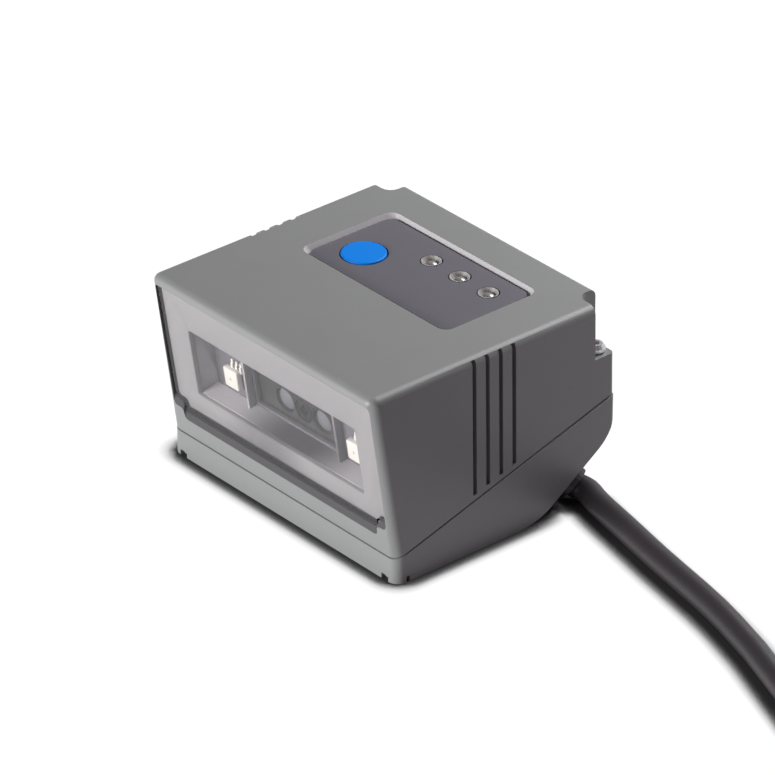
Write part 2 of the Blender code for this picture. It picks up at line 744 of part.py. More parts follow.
def optics(frame, bezel_back):
    """Chassis with lamp board, lamps, aiming lenses, camera barrel and imager."""
    black = material("chassis_black", "3A393D", 0.6)
    front = bezel_back + GAP
    chassis = finish("optical_chassis", prism(rectangle(
        -CHASSIS_HALF_WIDTH, CHASSIS_HALF_WIDTH, -CHASSIS_BOTTOM, -CHASSIS_TOP, POST_RADIUS),
        front, CHASSIS_DEPTH, "Y"), black, parent=frame)
    board_back = LAMP_BOARD_DEPTH + LAMP_BOARD_THICKNESS
    pocket = finish("chassis_front_pocket", prism(rectangle(
        -CHASSIS_HALF_WIDTH + WALL, CHASSIS_HALF_WIDTH - WALL,
        -CHASSIS_BOTTOM + WALL, -CHASSIS_TOP - WALL, POST_RADIUS / 2.0),
        front - WALL, board_back + GAP, "Y"), None, parent=frame)
    combine(chassis, pocket)
    for side in (-1, 1):
        x_range = (side * RIB_X - RIB_THICKNESS / 2.0, side * RIB_X + RIB_THICKNESS / 2.0)
        rib = finish(f"chassis_rib_{side:+d}", prism(rectangle(
            *x_range, -CHASSIS_BOTTOM + WALL / 2.0, -CHASSIS_TOP - WALL / 2.0),
            front + WALL, LAMP_BOARD_DEPTH - GAP, "Y"), None, parent=frame)
        combine(chassis, rib, "UNION")
    back_depth = BARREL_DEPTH + BARREL_LENGTH
    rear = finish("chassis_rear_pocket", prism(rectangle(
        -IMAGER_BOARD_SIZE / 2.0 - GAP, IMAGER_BOARD_SIZE / 2.0 + GAP,
        -OPTIC_S - IMAGER_BOARD_SIZE / 2.0 - GAP, -OPTIC_S + IMAGER_BOARD_SIZE / 2.0 + GAP),
        back_depth + GAP, CHASSIS_DEPTH + WALL, "Y"), None, parent=frame)
    combine(chassis, rear)
    for number, (x, radius) in enumerate(
            ((-AIMER_X, AIMER_RADIUS), (0.0, BARREL_RADIUS), (AIMER_X, AIMER_RADIUS)), start=1):
        depth_end = CHASSIS_DEPTH + WALL if x == 0.0 else board_back + GAP + 2.0 * WALL
        bore = finish(f"chassis_bore_{number}", prism(
            circle(radius + GAP, SMALL_STEPS), -WALL, depth_end - front), None)
        place_on_axis(bore, frame, x, OPTIC_S, front)
        combine(chassis, bore)

    green = material("board_green", "2F5A44", 0.5)
    margin = WALL + GAP
    lamp_board = finish("illumination_board", prism(rectangle(
        -CHASSIS_HALF_WIDTH + margin, CHASSIS_HALF_WIDTH - margin,
        -CHASSIS_BOTTOM + margin, -CHASSIS_TOP - margin, POST_RADIUS / 2.0),
        LAMP_BOARD_DEPTH, board_back, "Y"), green, parent=frame)
    for number, (x, radius) in enumerate(
            ((-AIMER_X, AIMER_RADIUS), (0.0, BARREL_RADIUS), (AIMER_X, AIMER_RADIUS)), start=1):
        bore = finish(f"lamp_board_bore_{number}", prism(
            circle(radius + GAP, SMALL_STEPS), -WALL, board_back), None)
        place_on_axis(bore, frame, x, OPTIC_S, front)
        combine(lamp_board, bore)

    lamp_white = material("lamp_white", "F4F1E7", 0.4)
    for side, label in ((-1, "left"), (1, "right")):
        lamp(f"illumination_led_{label}", side * LAMP_X, frame, lamp_white)
        lens = finish(f"aiming_lens_{label}", turned([
            (0.0, 0.0), (AIMER_RADIUS * 0.6, LENS_CROWN / 4.0), (AIMER_RADIUS, LENS_CROWN),
            (AIMER_RADIUS, AIMER_LENGTH), (0.0, AIMER_LENGTH)], SMALL_STEPS),
            material("lens_clear", "D8DCE0", 0.05, transmission=0.9), smooth=True)
        place_on_axis(lens, frame, side * AIMER_X, OPTIC_S, BARREL_DEPTH - LENS_CROWN)

    barrel = finish("lens_barrel", turned([
        (APERTURE_RADIUS, 0.0), (BARREL_RADIUS, 0.0), (BARREL_RADIUS, BARREL_LENGTH),
        (CAMERA_LENS_RADIUS + GAP, BARREL_LENGTH), (CAMERA_LENS_RADIUS + GAP, BARREL_LIP),
        (APERTURE_RADIUS, BARREL_LIP)], SMALL_STEPS),
        material("barrel_black", "232226", 0.35), smooth=True)
    place_on_axis(barrel, frame, 0.0, OPTIC_S, BARREL_DEPTH)
    lens = finish("camera_lens", turned([
        (0.0, 0.0), (CAMERA_LENS_RADIUS * 0.6, LENS_CROWN / 4.0), (CAMERA_LENS_RADIUS, LENS_CROWN),
        (CAMERA_LENS_RADIUS, CAMERA_LENS_THICKNESS), (0.0, CAMERA_LENS_THICKNESS)], SMALL_STEPS),
        material("lens_clear", "D8DCE0", 0.05, transmission=0.9), smooth=True)
    place_on_axis(lens, frame, 0.0, OPTIC_S, BARREL_DEPTH + BARREL_LIP + GAP)

    sensor_depth = back_depth + GAP
    half = SENSOR_SIZE / 2.0
    finish("imager_sensor", prism(
        rectangle(-half, half, -OPTIC_S - half, -OPTIC_S + half),
        sensor_depth, sensor_depth + SENSOR_THICKNESS, "Y"),
        material("chip_black", "1F1F22", 0.4), parent=frame)
    half = IMAGER_BOARD_SIZE / 2.0
    board_depth = sensor_depth + SENSOR_THICKNESS + GAP
    finish("imager_board", prism(
        rectangle(-half, half, -OPTIC_S - half, -OPTIC_S + half, 0.0005),
        board_depth, board_depth + IMAGER_BOARD_THICKNESS, "Y"), green, parent=frame)
    return board_depth + IMAGER_BOARD_THICKNESS


def lamp(name, x, frame, finish_material):
    """White lamp package with rounded corners and its row of leads above."""
    half_w = LAMP_WIDTH / 2.0
    half_h = LAMP_HEIGHT / 2.0
    back = LAMP_BOARD_DEPTH - GAP
    body = finish(name, prism(
        rectangle(x - half_w, x + half_w, -LAMP_S - half_h, -LAMP_S + half_h,
                  LAMP_CORNER_RADIUS, 2),
        back - LAMP_THICKNESS, back, "Y"), finish_material, parent=frame)
    lead_pitch = LAMP_WIDTH / LAMP_LEAD_COUNT
    for index in range(LAMP_LEAD_COUNT):
        mid = x + (index - (LAMP_LEAD_COUNT - 1) / 2.0) * lead_pitch
        lead = finish(f"{name}_lead_{index}", prism(rectangle(
            mid - lead_pitch / 4.0, mid + lead_pitch / 4.0,
            -LAMP_S, -LAMP_S + half_h + LAMP_LEAD_LENGTH),
            back - LAMP_THICKNESS / 2.0, back - LAMP_THICKNESS / 4.0, "Y"), None, parent=frame)
        combine(body, lead, "UNION")
    return body


# Control panel

def key_board_z():
    """Bottom and top of the switch board, stacked down from the key."""
    flange_bottom = HEIGHT - PANEL_DEPTH - PANEL_FLOOR - GAP - KEY_FLANGE_THICKNESS
    switch_top = flange_bottom - GAP - PLUNGER_LENGTH + PLUNGER_SINK
    top = switch_top - SWITCH_HEIGHT - GAP
    return top - KEY_BOARD_THICKNESS, top


def key_board_posts():
    """Positions of the posts that carry the switch board."""
    reach = KEY_BOARD_HALF_WIDTH - 1.2 * POST_RADIUS
    return [
        (side * reach, y)
        for side in (-1, 1)
        for y in (KEY_BOARD_FRONT_Y + 1.5 * POST_RADIUS, KEY_BOARD_BACK_Y - 1.5 * POST_RADIUS)
    ]


def control_panel():
    """Overlay, sprung key with its switch, light pipes and status lamps."""
    panel_z = HEIGHT - PANEL_DEPTH
    overlay_low = panel_z + GAP
    overlay_high = overlay_low + OVERLAY_THICKNESS
    overlay = finish("control_overlay", prism(
        panel_floor_outline(GAP), overlay_low, overlay_high),
        material("overlay_grey", "69686F", 0.45))
    combine(overlay, finish("overlay_key_hole", prism(
        circle(KEY_RADIUS + GAP, ROUND_STEPS, (KEY_X, KEY_Y)),
        panel_z - WALL, HEIGHT + WALL), None))
    for number, x in enumerate(LENS_XS, start=1):
        combine(overlay, finish(f"overlay_lens_hole_{number}", prism(
            circle(LENS_RADIUS + GAP, SMALL_STEPS, (x, LENS_Y)),
            panel_z - WALL, HEIGHT + WALL), None))

    joint = bpy.data.objects.new("key_joint", None)
    bpy.context.scene.collection.objects.link(joint)
    under = panel_z - PANEL_FLOOR
    flange_top = under - GAP
    flange_bottom = flange_top - KEY_FLANGE_THICKNESS
    joint.location = (KEY_X, KEY_Y, overlay_high)
    key_top = KEY_RISE
    key = turned([
        (0.0, flange_bottom - overlay_high),
        (KEY_RADIUS + KEY_FLANGE_WIDTH, flange_bottom - overlay_high),
        (KEY_RADIUS + KEY_FLANGE_WIDTH, flange_top - overlay_high),
        (KEY_RADIUS, flange_top - overlay_high),
        (KEY_RADIUS, key_top - KEY_EDGE),
        (KEY_RADIUS - KEY_EDGE, key_top),
        (0.0, key_top),
    ])
    finish("trigger_key", key, material("key_blue", "0281DC", 0.35), smooth=True, parent=joint)

    plunger_top = flange_bottom - GAP
    plunger = finish("switch_plunger", prism(
        circle(PLUNGER_RADIUS, SMALL_STEPS), -PLUNGER_LENGTH, 0.0),
        material("plunger_white", "DEDDD8", 0.5), smooth=True, parent=joint)
    plunger.location = (0.0, 0.0, plunger_top - overlay_high)

    board_low, board_high = key_board_z()
    switch_low = board_high + GAP
    switch = box("key_switch", (KEY_X - SWITCH_HALF, KEY_X + SWITCH_HALF),
                 (KEY_Y - SWITCH_HALF, KEY_Y + SWITCH_HALF),
                 (switch_low, switch_low + SWITCH_HEIGHT), material("switch_black", "2A2A2C", 0.5))
    combine(switch, finish("switch_well", prism(
        circle(PLUNGER_RADIUS + GAP, SMALL_STEPS, (KEY_X, KEY_Y)),
        plunger_top - PLUNGER_LENGTH - KEY_TRAVEL - GAP, HEIGHT), None))

    board_green = material("board_green", "2F5A44", 0.5)
    finish("key_board", prism(rectangle(
        -KEY_BOARD_HALF_WIDTH, KEY_BOARD_HALF_WIDTH,
        KEY_BOARD_FRONT_Y, KEY_BOARD_BACK_Y, BOARD_CORNER_RADIUS), board_low, board_high), board_green)

    led_x, led_y, led_height = STATUS_LED_SIZE
    for number, x in enumerate(LENS_XS, start=1):
        box(f"status_led_{number}", (x - led_x / 2.0, x + led_x / 2.0),
            (LENS_Y - led_y / 2.0, LENS_Y + led_y / 2.0),
            (board_high + GAP, board_high + GAP + led_height), material("led_white", "F2F2EC", 0.4))
        stem_low = board_high + GAP + led_height + GAP
        top = overlay_high + KEY_RISE / 3.0
        head_low = panel_z - PANEL_FLOOR
        lens = finish(f"status_lens_{number}", turned([
            (0.0, stem_low), (LENS_STEM_RADIUS, stem_low), (LENS_STEM_RADIUS, head_low),
            (LENS_RADIUS, head_low), (LENS_RADIUS, top), (LENS_DISH_RADIUS, top),
            (LENS_DISH_RADIUS * 0.7, top - LENS_DISH_DEPTH), (0.0, top - LENS_DISH_DEPTH)],
            SMALL_STEPS), material("lens_smoke", "B7B7BC", 0.2, transmission=0.4), smooth=True)
        lens.location = (x, LENS_Y, 0.0)


# Electronics

def electronics(frame, imager_back):
    """Main board on its posts, with processor, beeper, connector and ribbon."""
    top = BOARD_Z + BOARD_THICKNESS
    green = material("board_green", "2F5A44", 0.5)
    finish("main_board", prism(rectangle(
        -BOARD_HALF_WIDTH, BOARD_HALF_WIDTH, BOARD_FRONT_Y, BOARD_BACK_Y, BOARD_CORNER_RADIUS),
        BOARD_Z, top), green)
    middle = (BOARD_FRONT_Y + BOARD_BACK_Y) / 2.0
    half = CHIP_SIZE / 2.0
    box("processor_chip", (-half, half), (middle - half, middle + half),
        (top + GAP, top + GAP + CHIP_HEIGHT), material("chip_black", "1F1F22", 0.4))
    beeper = finish("beeper", turned([
        (0.0, 0.0), (BEEPER_RADIUS, 0.0), (BEEPER_RADIUS, BEEPER_HEIGHT),
        (BEEPER_RADIUS * 0.2, BEEPER_HEIGHT), (BEEPER_RADIUS * 0.2, BEEPER_HEIGHT * 0.6),
        (0.0, BEEPER_HEIGHT * 0.6)]), material("switch_black", "2A2A2C", 0.5), smooth=True)
    beeper.location = (-BOARD_HALF_WIDTH + 1.6 * BEEPER_RADIUS, middle, top + GAP)
    length, width, height = CONNECTOR_SIZE
    right = BOARD_HALF_WIDTH - WALL
    low = middle - length / 2.0
    high = middle + length / 2.0
    connector = box("cable_connector", (right - width, right), (low, high),
                    (top + GAP, top + GAP + height), material("connector_white", "E6E2D6", 0.5))
    combine(connector, box(
        "connector_well", (right - width + CONNECTOR_WALL, right - CONNECTOR_WALL),
        (low + CONNECTOR_WALL, high - CONNECTOR_WALL), (top + 2.0 * WALL / 3.0, HEIGHT), None))

    lean = Matrix.Rotation(FRONT_LEAN, 4, "X")
    start = Vector((0.0, TOP_FRONT_Y, HEIGHT)) + lean @ Vector((
        0.0, imager_back + GAP + RIBBON_THICKNESS, -OPTIC_S - IMAGER_BOARD_SIZE / 4.0))
    end_z = top + GAP + RIBBON_THICKNESS / 2.0
    route = [
        (start.y, start.z),
        (start.y + 0.0012, start.z - 0.003),
        (BOARD_FRONT_Y - 0.0005, end_z + 0.0012),
        (BOARD_FRONT_Y + 0.0022, end_z),
        (BOARD_FRONT_Y + 0.0062, end_z),
    ]
    finish("board_ribbon", prism(thick_line(route, RIBBON_THICKNESS),
                                 -RIBBON_WIDTH / 2.0, RIBBON_WIDTH / 2.0, "X"),
           material("ribbon_tan", "C98A3A", 0.5))


def thick_line(points, thickness):
    """Give an open polyline a thickness, as a closed outline."""
    left = []
    right = []
    for index, point in enumerate(points):
        here = Vector(point)
        before = here - Vector(points[max(index - 1, 0)])
        after = Vector(points[min(index + 1, len(points) - 1)]) - here
        direction = (before.normalized() + after.normalized()).normalized()
        normal = Vector((-direction.y, direction.x)) * (thickness / 2.0)
        left.append(tuple(here + normal))
        right.append(tuple(here - normal))
    return left + right[::-1]


# Fasteners

def fasteners():
    """Two housing screws in the rear pockets and two brass inserts underneath."""
    steel = material("screw_steel", "9C9DA0", 0.35, 1.0)
    brass = material("insert_brass", "B9975B", 0.35, 1.0)
    seat = HEIGHT - POCKET_DEPTH + GAP
    for side, label in ((-1, "left"), (1, "right")):
        head = SCREW_HEAD_RADIUS
        screw = finish(f"rear_screw_{label}", turned([
            (0.0, -SCREW_LENGTH), (SCREW_SHANK_RADIUS * 0.6, -SCREW_LENGTH),
            (SCREW_SHANK_RADIUS, -SCREW_LENGTH + SCREW_POINT), (SCREW_SHANK_RADIUS, 0.0),
            (head, 0.0), (head, SCREW_HEAD_HEIGHT * 0.5), (head * 0.7, SCREW_HEAD_HEIGHT),
            (0.0, SCREW_HEAD_HEIGHT)], SMALL_STEPS), steel, smooth=True)
        screw.location = (side * SCREW_X, SCREW_Y, seat)
        drive = finish(f"screw_drive_{label}", prism(
            circle(SCREW_DRIVE_RADIUS, 6), SCREW_HEAD_HEIGHT - SCREW_DRIVE_DEPTH,
            SCREW_HEAD_HEIGHT + WALL), None)
        drive.location = screw.location
        combine(screw, drive)
        insert = finish(f"mount_insert_{label}", turned([
            (INSERT_BORE_RADIUS, 0.0), (INSERT_RADIUS, 0.0), (INSERT_RADIUS, INSERT_LENGTH),
            (INSERT_BORE_RADIUS, INSERT_LENGTH)], SMALL_STEPS), brass, smooth=True)
        insert.location = (side * INSERT_X, INSERT_Y, GAP)


# Cable

def smooth_route(points, per_span):
    """Read a smooth curve through the route's points."""
    knots = [Vector(point) for point in points]
    knots = [2.0 * knots[0] - knots[1]] + knots + [2.0 * knots[-1] - knots[-2]]
    result = []
    for index in range(1, len(knots) - 2):
        p0, p1, p2, p3 = knots[index - 1:index + 3]
        for step in range(per_span):
            t = step / per_span
            result.append(0.5 * (
                2.0 * p1 + (p2 - p0) * t + (2.0 * p0 - 5.0 * p1 + 4.0 * p2 - p3) * t ** 2
                + (3.0 * p1 - p0 - 3.0 * p2 + p3) * t ** 3))
    result.append(knots[-2])
    return result


def cable_stretch(name, points, per_span, finish_material):
    """Round cable as a bevelled curve with filled ends."""
    curve = bpy.data.curves.new(name, "CURVE")
    curve.dimensions = "3D"
    curve.bevel_depth = CABLE_RADIUS
    curve.bevel_resolution = 2
    curve.use_fill_caps = True
    route = smooth_route(points, per_span)
    spline = curve.splines.new("POLY")
    spline.points.add(len(route) - 1)
    for slot, point in zip(spline.points, route):
        slot.co = (*point, 1.0)
    curve.materials.append(finish_material)
    made = bpy.data.objects.new(name, curve)
    bpy.context.scene.collection.objects.link(made)
    return made


def round_outline():
    """Rounded square outline of the coil's bundle, in radius and height above its foot."""
    return rectangle(COIL_INNER_RADIUS, COIL_OUTER_RADIUS, 0.0, COIL_BAND, COIL_ROUNDING, 2)


def on_coil(radius, angle):
    """Point in plan at a radius and an angle around the coil's centre."""
    return (COIL_CENTRE[0] + radius * math.cos(angle), COIL_CENTRE[1] + radius * math.sin(angle))


def cable():
    """Strain relief, cable, its tied coil and the plug that lies on the coil."""
    jacket = material("cable_black", "201B1F", 0.5)
    bore = CABLE_RADIUS + GAP
    gland = finish("cable_gland", turned([
        (bore, 0.0), (COLLAR_RADIUS, 0.0), (COLLAR_RADIUS, -COLLAR_LENGTH),
        (NECK_RADIUS, -COLLAR_LENGTH), (NECK_RADIUS, -NECK_LENGTH), (bore, -NECK_LENGTH)]),
        material("gland_black", "211F22", 0.55), smooth=True)
    gland.matrix_world = along(OUTLET, OUTLET_AXIS)
    cable_stretch("cable_lead", lead_route(), 3, jacket)

    coil_low = TIE_THICKNESS + GAP
    coil = finish("cable_coil", turned(round_outline(), 40), jacket, smooth=True)
    coil.location = (*COIL_CENTRE, coil_low)
    cable_tie(coil_low)

    top_z = coil_low + COIL_BAND + CABLE_RADIUS + 2.0 * GAP
    plug_low = coil_low + COIL_BAND + GAP
    tail_angles = [math.radians(degrees) for degrees in (30.0, 45.0, 60.0, 75.0)]
    tail = [(*on_coil(COIL_MIDDLE_RADIUS, angle), top_z) for angle in tail_angles]
    tail.append((PLUG_REAR_X + GAP, COIL_CENTRE[1] + COIL_MIDDLE_RADIUS, plug_low + PLUG_HEIGHT / 2.0))
    cable_stretch("cable_tail", tail, 3, jacket)
    plug(plug_low, material("plug_black", "262427", 0.5))


def lead_route():
    """Points of the cable from inside the strain relief to where it meets the coil."""
    rest = CABLE_RADIUS + FLOOR_CLEARANCE
    coil_rest = TIE_THICKNESS + GAP + rest
    entry = OUTLET - OUTLET_AXIS * CABLE_INSERTION
    leave = OUTLET + OUTLET_AXIS * (GAP / 2.0)
    lane = COIL_OUTER_RADIUS - CABLE_RADIUS
    reach = math.sqrt(COIL_OUTER_RADIUS ** 2 - (lane - CABLE_RADIUS) ** 2) + 3.0 * GAP
    touch_x, touch_y = on_coil(lane, COIL_ENTRY)
    meet_x = touch_x + reach * math.sin(COIL_ENTRY)
    meet_y = touch_y - reach * math.cos(COIL_ENTRY)
    return [
        tuple(entry), tuple((entry + leave) / 2.0), tuple(leave),
        (0.0349, 0.0233, rest + 0.0002), (0.0400, 0.0219, rest), (0.0502, 0.0197, rest),
        (0.0627, 0.0169, rest), (0.0830, 0.0128, rest), (0.0985, 0.0082, rest),
        (meet_x, meet_y, coil_rest),
    ]


def cable_tie(coil_low):
    """Band of the tie around one side of the coil."""
    inner = COIL_INNER_RADIUS - GAP
    outer = COIL_OUTER_RADIUS + GAP
    low = coil_low - GAP
    high = coil_low + COIL_BAND + GAP
    tie = finish("cable_tie", prism(rectangle(
        inner - TIE_THICKNESS, outer + TIE_THICKNESS, low - TIE_THICKNESS, high + TIE_THICKNESS,
        0.75 * COIL_ROUNDING), -TIE_WIDTH / 2.0, TIE_WIDTH / 2.0, "Y"),
        material("tie_black", "2B2B2D", 0.5))
    inside = finish("tie_inside", prism(
        rectangle(inner, outer, low, high, 0.6 * COIL_ROUNDING), -TIE_WIDTH, TIE_WIDTH, "Y"), None)
    combine(tie, inside)
    for made in (tie, inside):
        made.location = (*COIL_CENTRE, 0.0)
        made.rotation_euler = (0.0, 0.0, TIE_ANGLE)


def plug(low, body_material):
    """Flat rectangular plug with a tapered boot and a metal shell."""
    y_mid = COIL_CENTRE[1] + COIL_MIDDLE_RADIUS
    z_mid = low + PLUG_HEIGHT / 2.0
    boot = 2.0 * CABLE_RADIUS
    body_sections = []
    for distance, width, height in (
            (0.0, boot + 0.001, boot + 0.001),
            (PLUG_BOOT_LENGTH, boot + 0.0022, boot + 0.0016),
            (PLUG_BOOT_LENGTH + WALL, PLUG_WIDTH, PLUG_HEIGHT),
            (PLUG_LENGTH, PLUG_WIDTH, PLUG_HEIGHT)):
        outline = rectangle(y_mid - width / 2.0, y_mid + width / 2.0,
                            z_mid - height / 2.0, z_mid + height / 2.0, PLUG_EDGE_RADIUS, 3)
        body_sections.append([(PLUG_REAR_X - distance, y, z) for y, z in outline])
    finish("plug_body", loft(body_sections), body_material)
    nose = PLUG_REAR_X - PLUG_LENGTH - GAP
    half_w = SHELL_WIDTH / 2.0
    half_h = SHELL_HEIGHT / 2.0
    shell = finish("plug_shell", prism(rectangle(
        y_mid - half_w, y_mid + half_w, z_mid - half_h, z_mid + half_h, SHELL_EDGE_RADIUS, 2),
        nose - SHELL_LENGTH, nose, "X"), material("shell_steel", "B9BABD", 0.25, 1.0))
    combine(shell, finish("shell_mouth", prism(rectangle(
        y_mid - half_w + SHELL_WALL, y_mid + half_w - SHELL_WALL,
        z_mid - half_h + SHELL_WALL, z_mid + half_h - SHELL_WALL),
        nose - SHELL_LENGTH - WALL, nose - SHELL_WALL, "X"), None))


def main():
    """Build the whole reader in an empty scene."""
    for old in list(bpy.data.objects):
        bpy.data.objects.remove(old, do_unlink=True)
    shell_grey = material("shell_grey", "6E6B70", 0.55)
    frame = front_frame()
    upper_housing(shell_grey, frame)
    lower_housing(shell_grey)
    bezel_back = window_parts(frame)
    imager_back = optics(frame, bezel_back)
    control_panel()
    electronics(frame, imager_back)
    fasteners()
    cable()


if __name__ == "__main__":
    main()
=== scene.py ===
"""Looks of a compact fixed barcode reader.

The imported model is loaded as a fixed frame. Finer copies of its moulded shells, clear
parts and small fittings take the place of the faceted solids, every surface gets its
finish, and the cable is laid on the floor at its real length.
"""

from __future__ import annotations

import json
import logging
import math
from dataclasses import dataclass, field
from enum import Enum
from typing import Callable, Sequence

import bmesh
import bpy
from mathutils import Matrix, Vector

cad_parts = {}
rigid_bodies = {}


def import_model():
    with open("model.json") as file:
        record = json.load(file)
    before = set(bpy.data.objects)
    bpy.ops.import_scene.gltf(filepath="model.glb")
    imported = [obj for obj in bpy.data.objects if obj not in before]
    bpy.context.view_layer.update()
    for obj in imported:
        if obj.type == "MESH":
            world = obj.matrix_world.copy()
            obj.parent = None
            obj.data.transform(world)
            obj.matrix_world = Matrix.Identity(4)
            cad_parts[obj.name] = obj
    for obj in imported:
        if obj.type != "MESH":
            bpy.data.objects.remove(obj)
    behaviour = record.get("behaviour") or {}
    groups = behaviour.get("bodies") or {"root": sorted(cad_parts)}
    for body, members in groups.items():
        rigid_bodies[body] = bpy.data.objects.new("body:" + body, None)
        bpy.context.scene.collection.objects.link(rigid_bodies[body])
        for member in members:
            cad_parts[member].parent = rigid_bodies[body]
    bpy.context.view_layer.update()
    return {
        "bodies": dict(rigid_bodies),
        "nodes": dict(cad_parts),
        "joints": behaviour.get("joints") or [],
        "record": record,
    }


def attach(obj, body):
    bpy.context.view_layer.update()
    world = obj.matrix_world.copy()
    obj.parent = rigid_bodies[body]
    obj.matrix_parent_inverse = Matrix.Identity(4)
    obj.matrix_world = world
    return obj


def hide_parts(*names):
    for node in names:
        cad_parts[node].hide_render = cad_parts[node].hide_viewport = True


LOG = logging.getLogger("barcode_reader")
MM = 0.001
Point = tuple[float, float, float]
Span = tuple[float, float]
Colour = tuple[float, float, float, float]


class Body(str, Enum):
    """Rigid bodies of the frame that a piece can ride on."""

    READER = "reader"
    KEY = "key"


# Colour and node helpers


def hex_linear(value: str) -> Colour:
    """Turn an sRGB hex colour into linear channels.

    Args:
        value: Six hex digits.

    Returns:
        Linear red, green and blue, and an opacity of 1.
    """
    parts = [int(value[i:i + 2], 16) / 255.0 for i in (0, 2, 4)]
    red, green, blue = (
        c / 12.92 if c <= 0.04045 else ((c + 0.055) / 1.055) ** 2.4 for c in parts
    )
    return red, green, blue, 1.0


def add_node(
    tree: bpy.types.NodeTree,
    kind: str,
    settings: dict[str, object] | None = None,
    inputs: dict[str | int, object] | None = None,
) -> bpy.types.Node:
    """Add a node with its settings and its input values or links.

    Args:
        tree: Node tree that receives the node.
        kind: Blender's name of the node type.
        settings: Attributes to set on the node.
        inputs: Input sockets by name or index, each with a value or an output to link.

    Returns:
        The new node.
    """
    node = tree.nodes.new(kind)
    for name, value in (settings or {}).items():
        setattr(node, name, value)
    for key, value in (inputs or {}).items():
        socket = node.inputs[key]
        if isinstance(value, bpy.types.NodeSocket):
            tree.links.new(value, socket)
        else:
            socket.default_value = value
    return node


def empty_material(name: str) -> tuple[bpy.types.Material, bpy.types.NodeTree]:
    """Start a material.

    Args:
        name: Name of the material.

    Returns:
        The new material and its cleared node tree.
    """
    made = bpy.data.materials.new(name)
    made.use_nodes = True
    made.node_tree.nodes.clear()
    return made, made.node_tree


def mix_colour(
    tree: bpy.types.NodeTree,
    share: bpy.types.NodeSocket,
    low: Colour | bpy.types.NodeSocket,
    high: Colour | bpy.types.NodeSocket,
) -> bpy.types.NodeSocket:
    """Blend two colours.

    Args:
        tree: Node tree that receives the node.
        share: Share of the second colour, from 0 to 1.
        low: First colour, as a value or an output.
        high: Second colour, as a value or an output.

    Returns:
        Output with the blend.
    """
    # 0, 6 and 7 are the node's factor and its two colours, and 2 is the colour it gives
    node = add_node(tree, "ShaderNodeMix", {"data_type": "RGBA"}, {0: share, 6: low, 7: high})
    return node.outputs[2]


def noise(
    tree: bpy.types.NodeTree, place: bpy.types.NodeSocket, size: float, detail: float,
) -> bpy.types.NodeSocket:
    """Add a noise pattern.

    Args:
        tree: Node tree that receives the node.
        place: Position on the surface.
        size: Size of the pattern's features in metres.
        detail: Number of finer layers on top.

    Returns:
        Output with the pattern's value.
    """
    node = add_node(tree, "ShaderNodeTexNoise", None, {
        "Vector": place, "Scale": 1.0 / size, "Detail": detail})
    return node.outputs["Fac"]


def remap(
    tree: bpy.types.NodeTree,
    value: bpy.types.NodeSocket,
    target: Span,
    source: Span = (0.0, 1.0),
    interpolation: str = "LINEAR",
) -> bpy.types.NodeSocket:
    """Map a value from one range to another.

    Args:
        tree: Node tree that receives the node.
        value: Output to map.
        target: Range of the result.
        source: Range of the value.
        interpolation: Blender's name of the course between the ends.

    Returns:
        Output with the result.
    """
    node = add_node(tree, "ShaderNodeMapRange", {"interpolation_type": interpolation}, {
        "Value": value, "From Min": source[0], "From Max": source[1],
        "To Min": target[0], "To Max": target[1]})
    return node.outputs["Result"]


def ray_is(tree: bpy.types.NodeTree, *kinds: str) -> bpy.types.NodeSocket:
    """Tell some kinds of ray from the others.

    Args:
        tree: Node tree that receives the nodes.
        kinds: Kinds of ray, as Light Path names them.

    Returns:
        Output with 1 for a ray of one of the kinds and 0 for any other.
    """
    path = add_node(tree, "ShaderNodeLightPath")
    found = path.outputs[f"Is {kinds[0]} Ray"]
    for kind in kinds[1:]:
        found = add_node(tree, "ShaderNodeMath", {"operation": "MAXIMUM"}, {
            0: found, 1: path.outputs[f"Is {kind} Ray"]}).outputs["Value"]
    return found


# Finishes


@dataclass(frozen=True)
class PaintedShading:
    """Painted light and shade: a second colour laid on a surface around a point, and the distances
    over which it gives way.
    """

    colour: str
    centre: Vector
    near: float
    far: float

    def over(
        self, tree: bpy.types.NodeTree, place: bpy.types.NodeSocket,
        base: bpy.types.NodeSocket,
    ) -> bpy.types.NodeSocket:
        """Lay the second colour over the first.

        Args:
            tree: Node tree of the material.
            place: Position on the surface.
            base: First colour.

        Returns:
            Output with both colours.
        """
        apart = add_node(tree, "ShaderNodeVectorMath", {"operation": "DISTANCE"}, {
            0: place, 1: self.centre})
        share = remap(
            tree, apart.outputs["Value"], (1.0, 0.0), (self.near, self.far), "SMOOTHSTEP")
        return mix_colour(tree, share, base, hex_linear(self.colour))


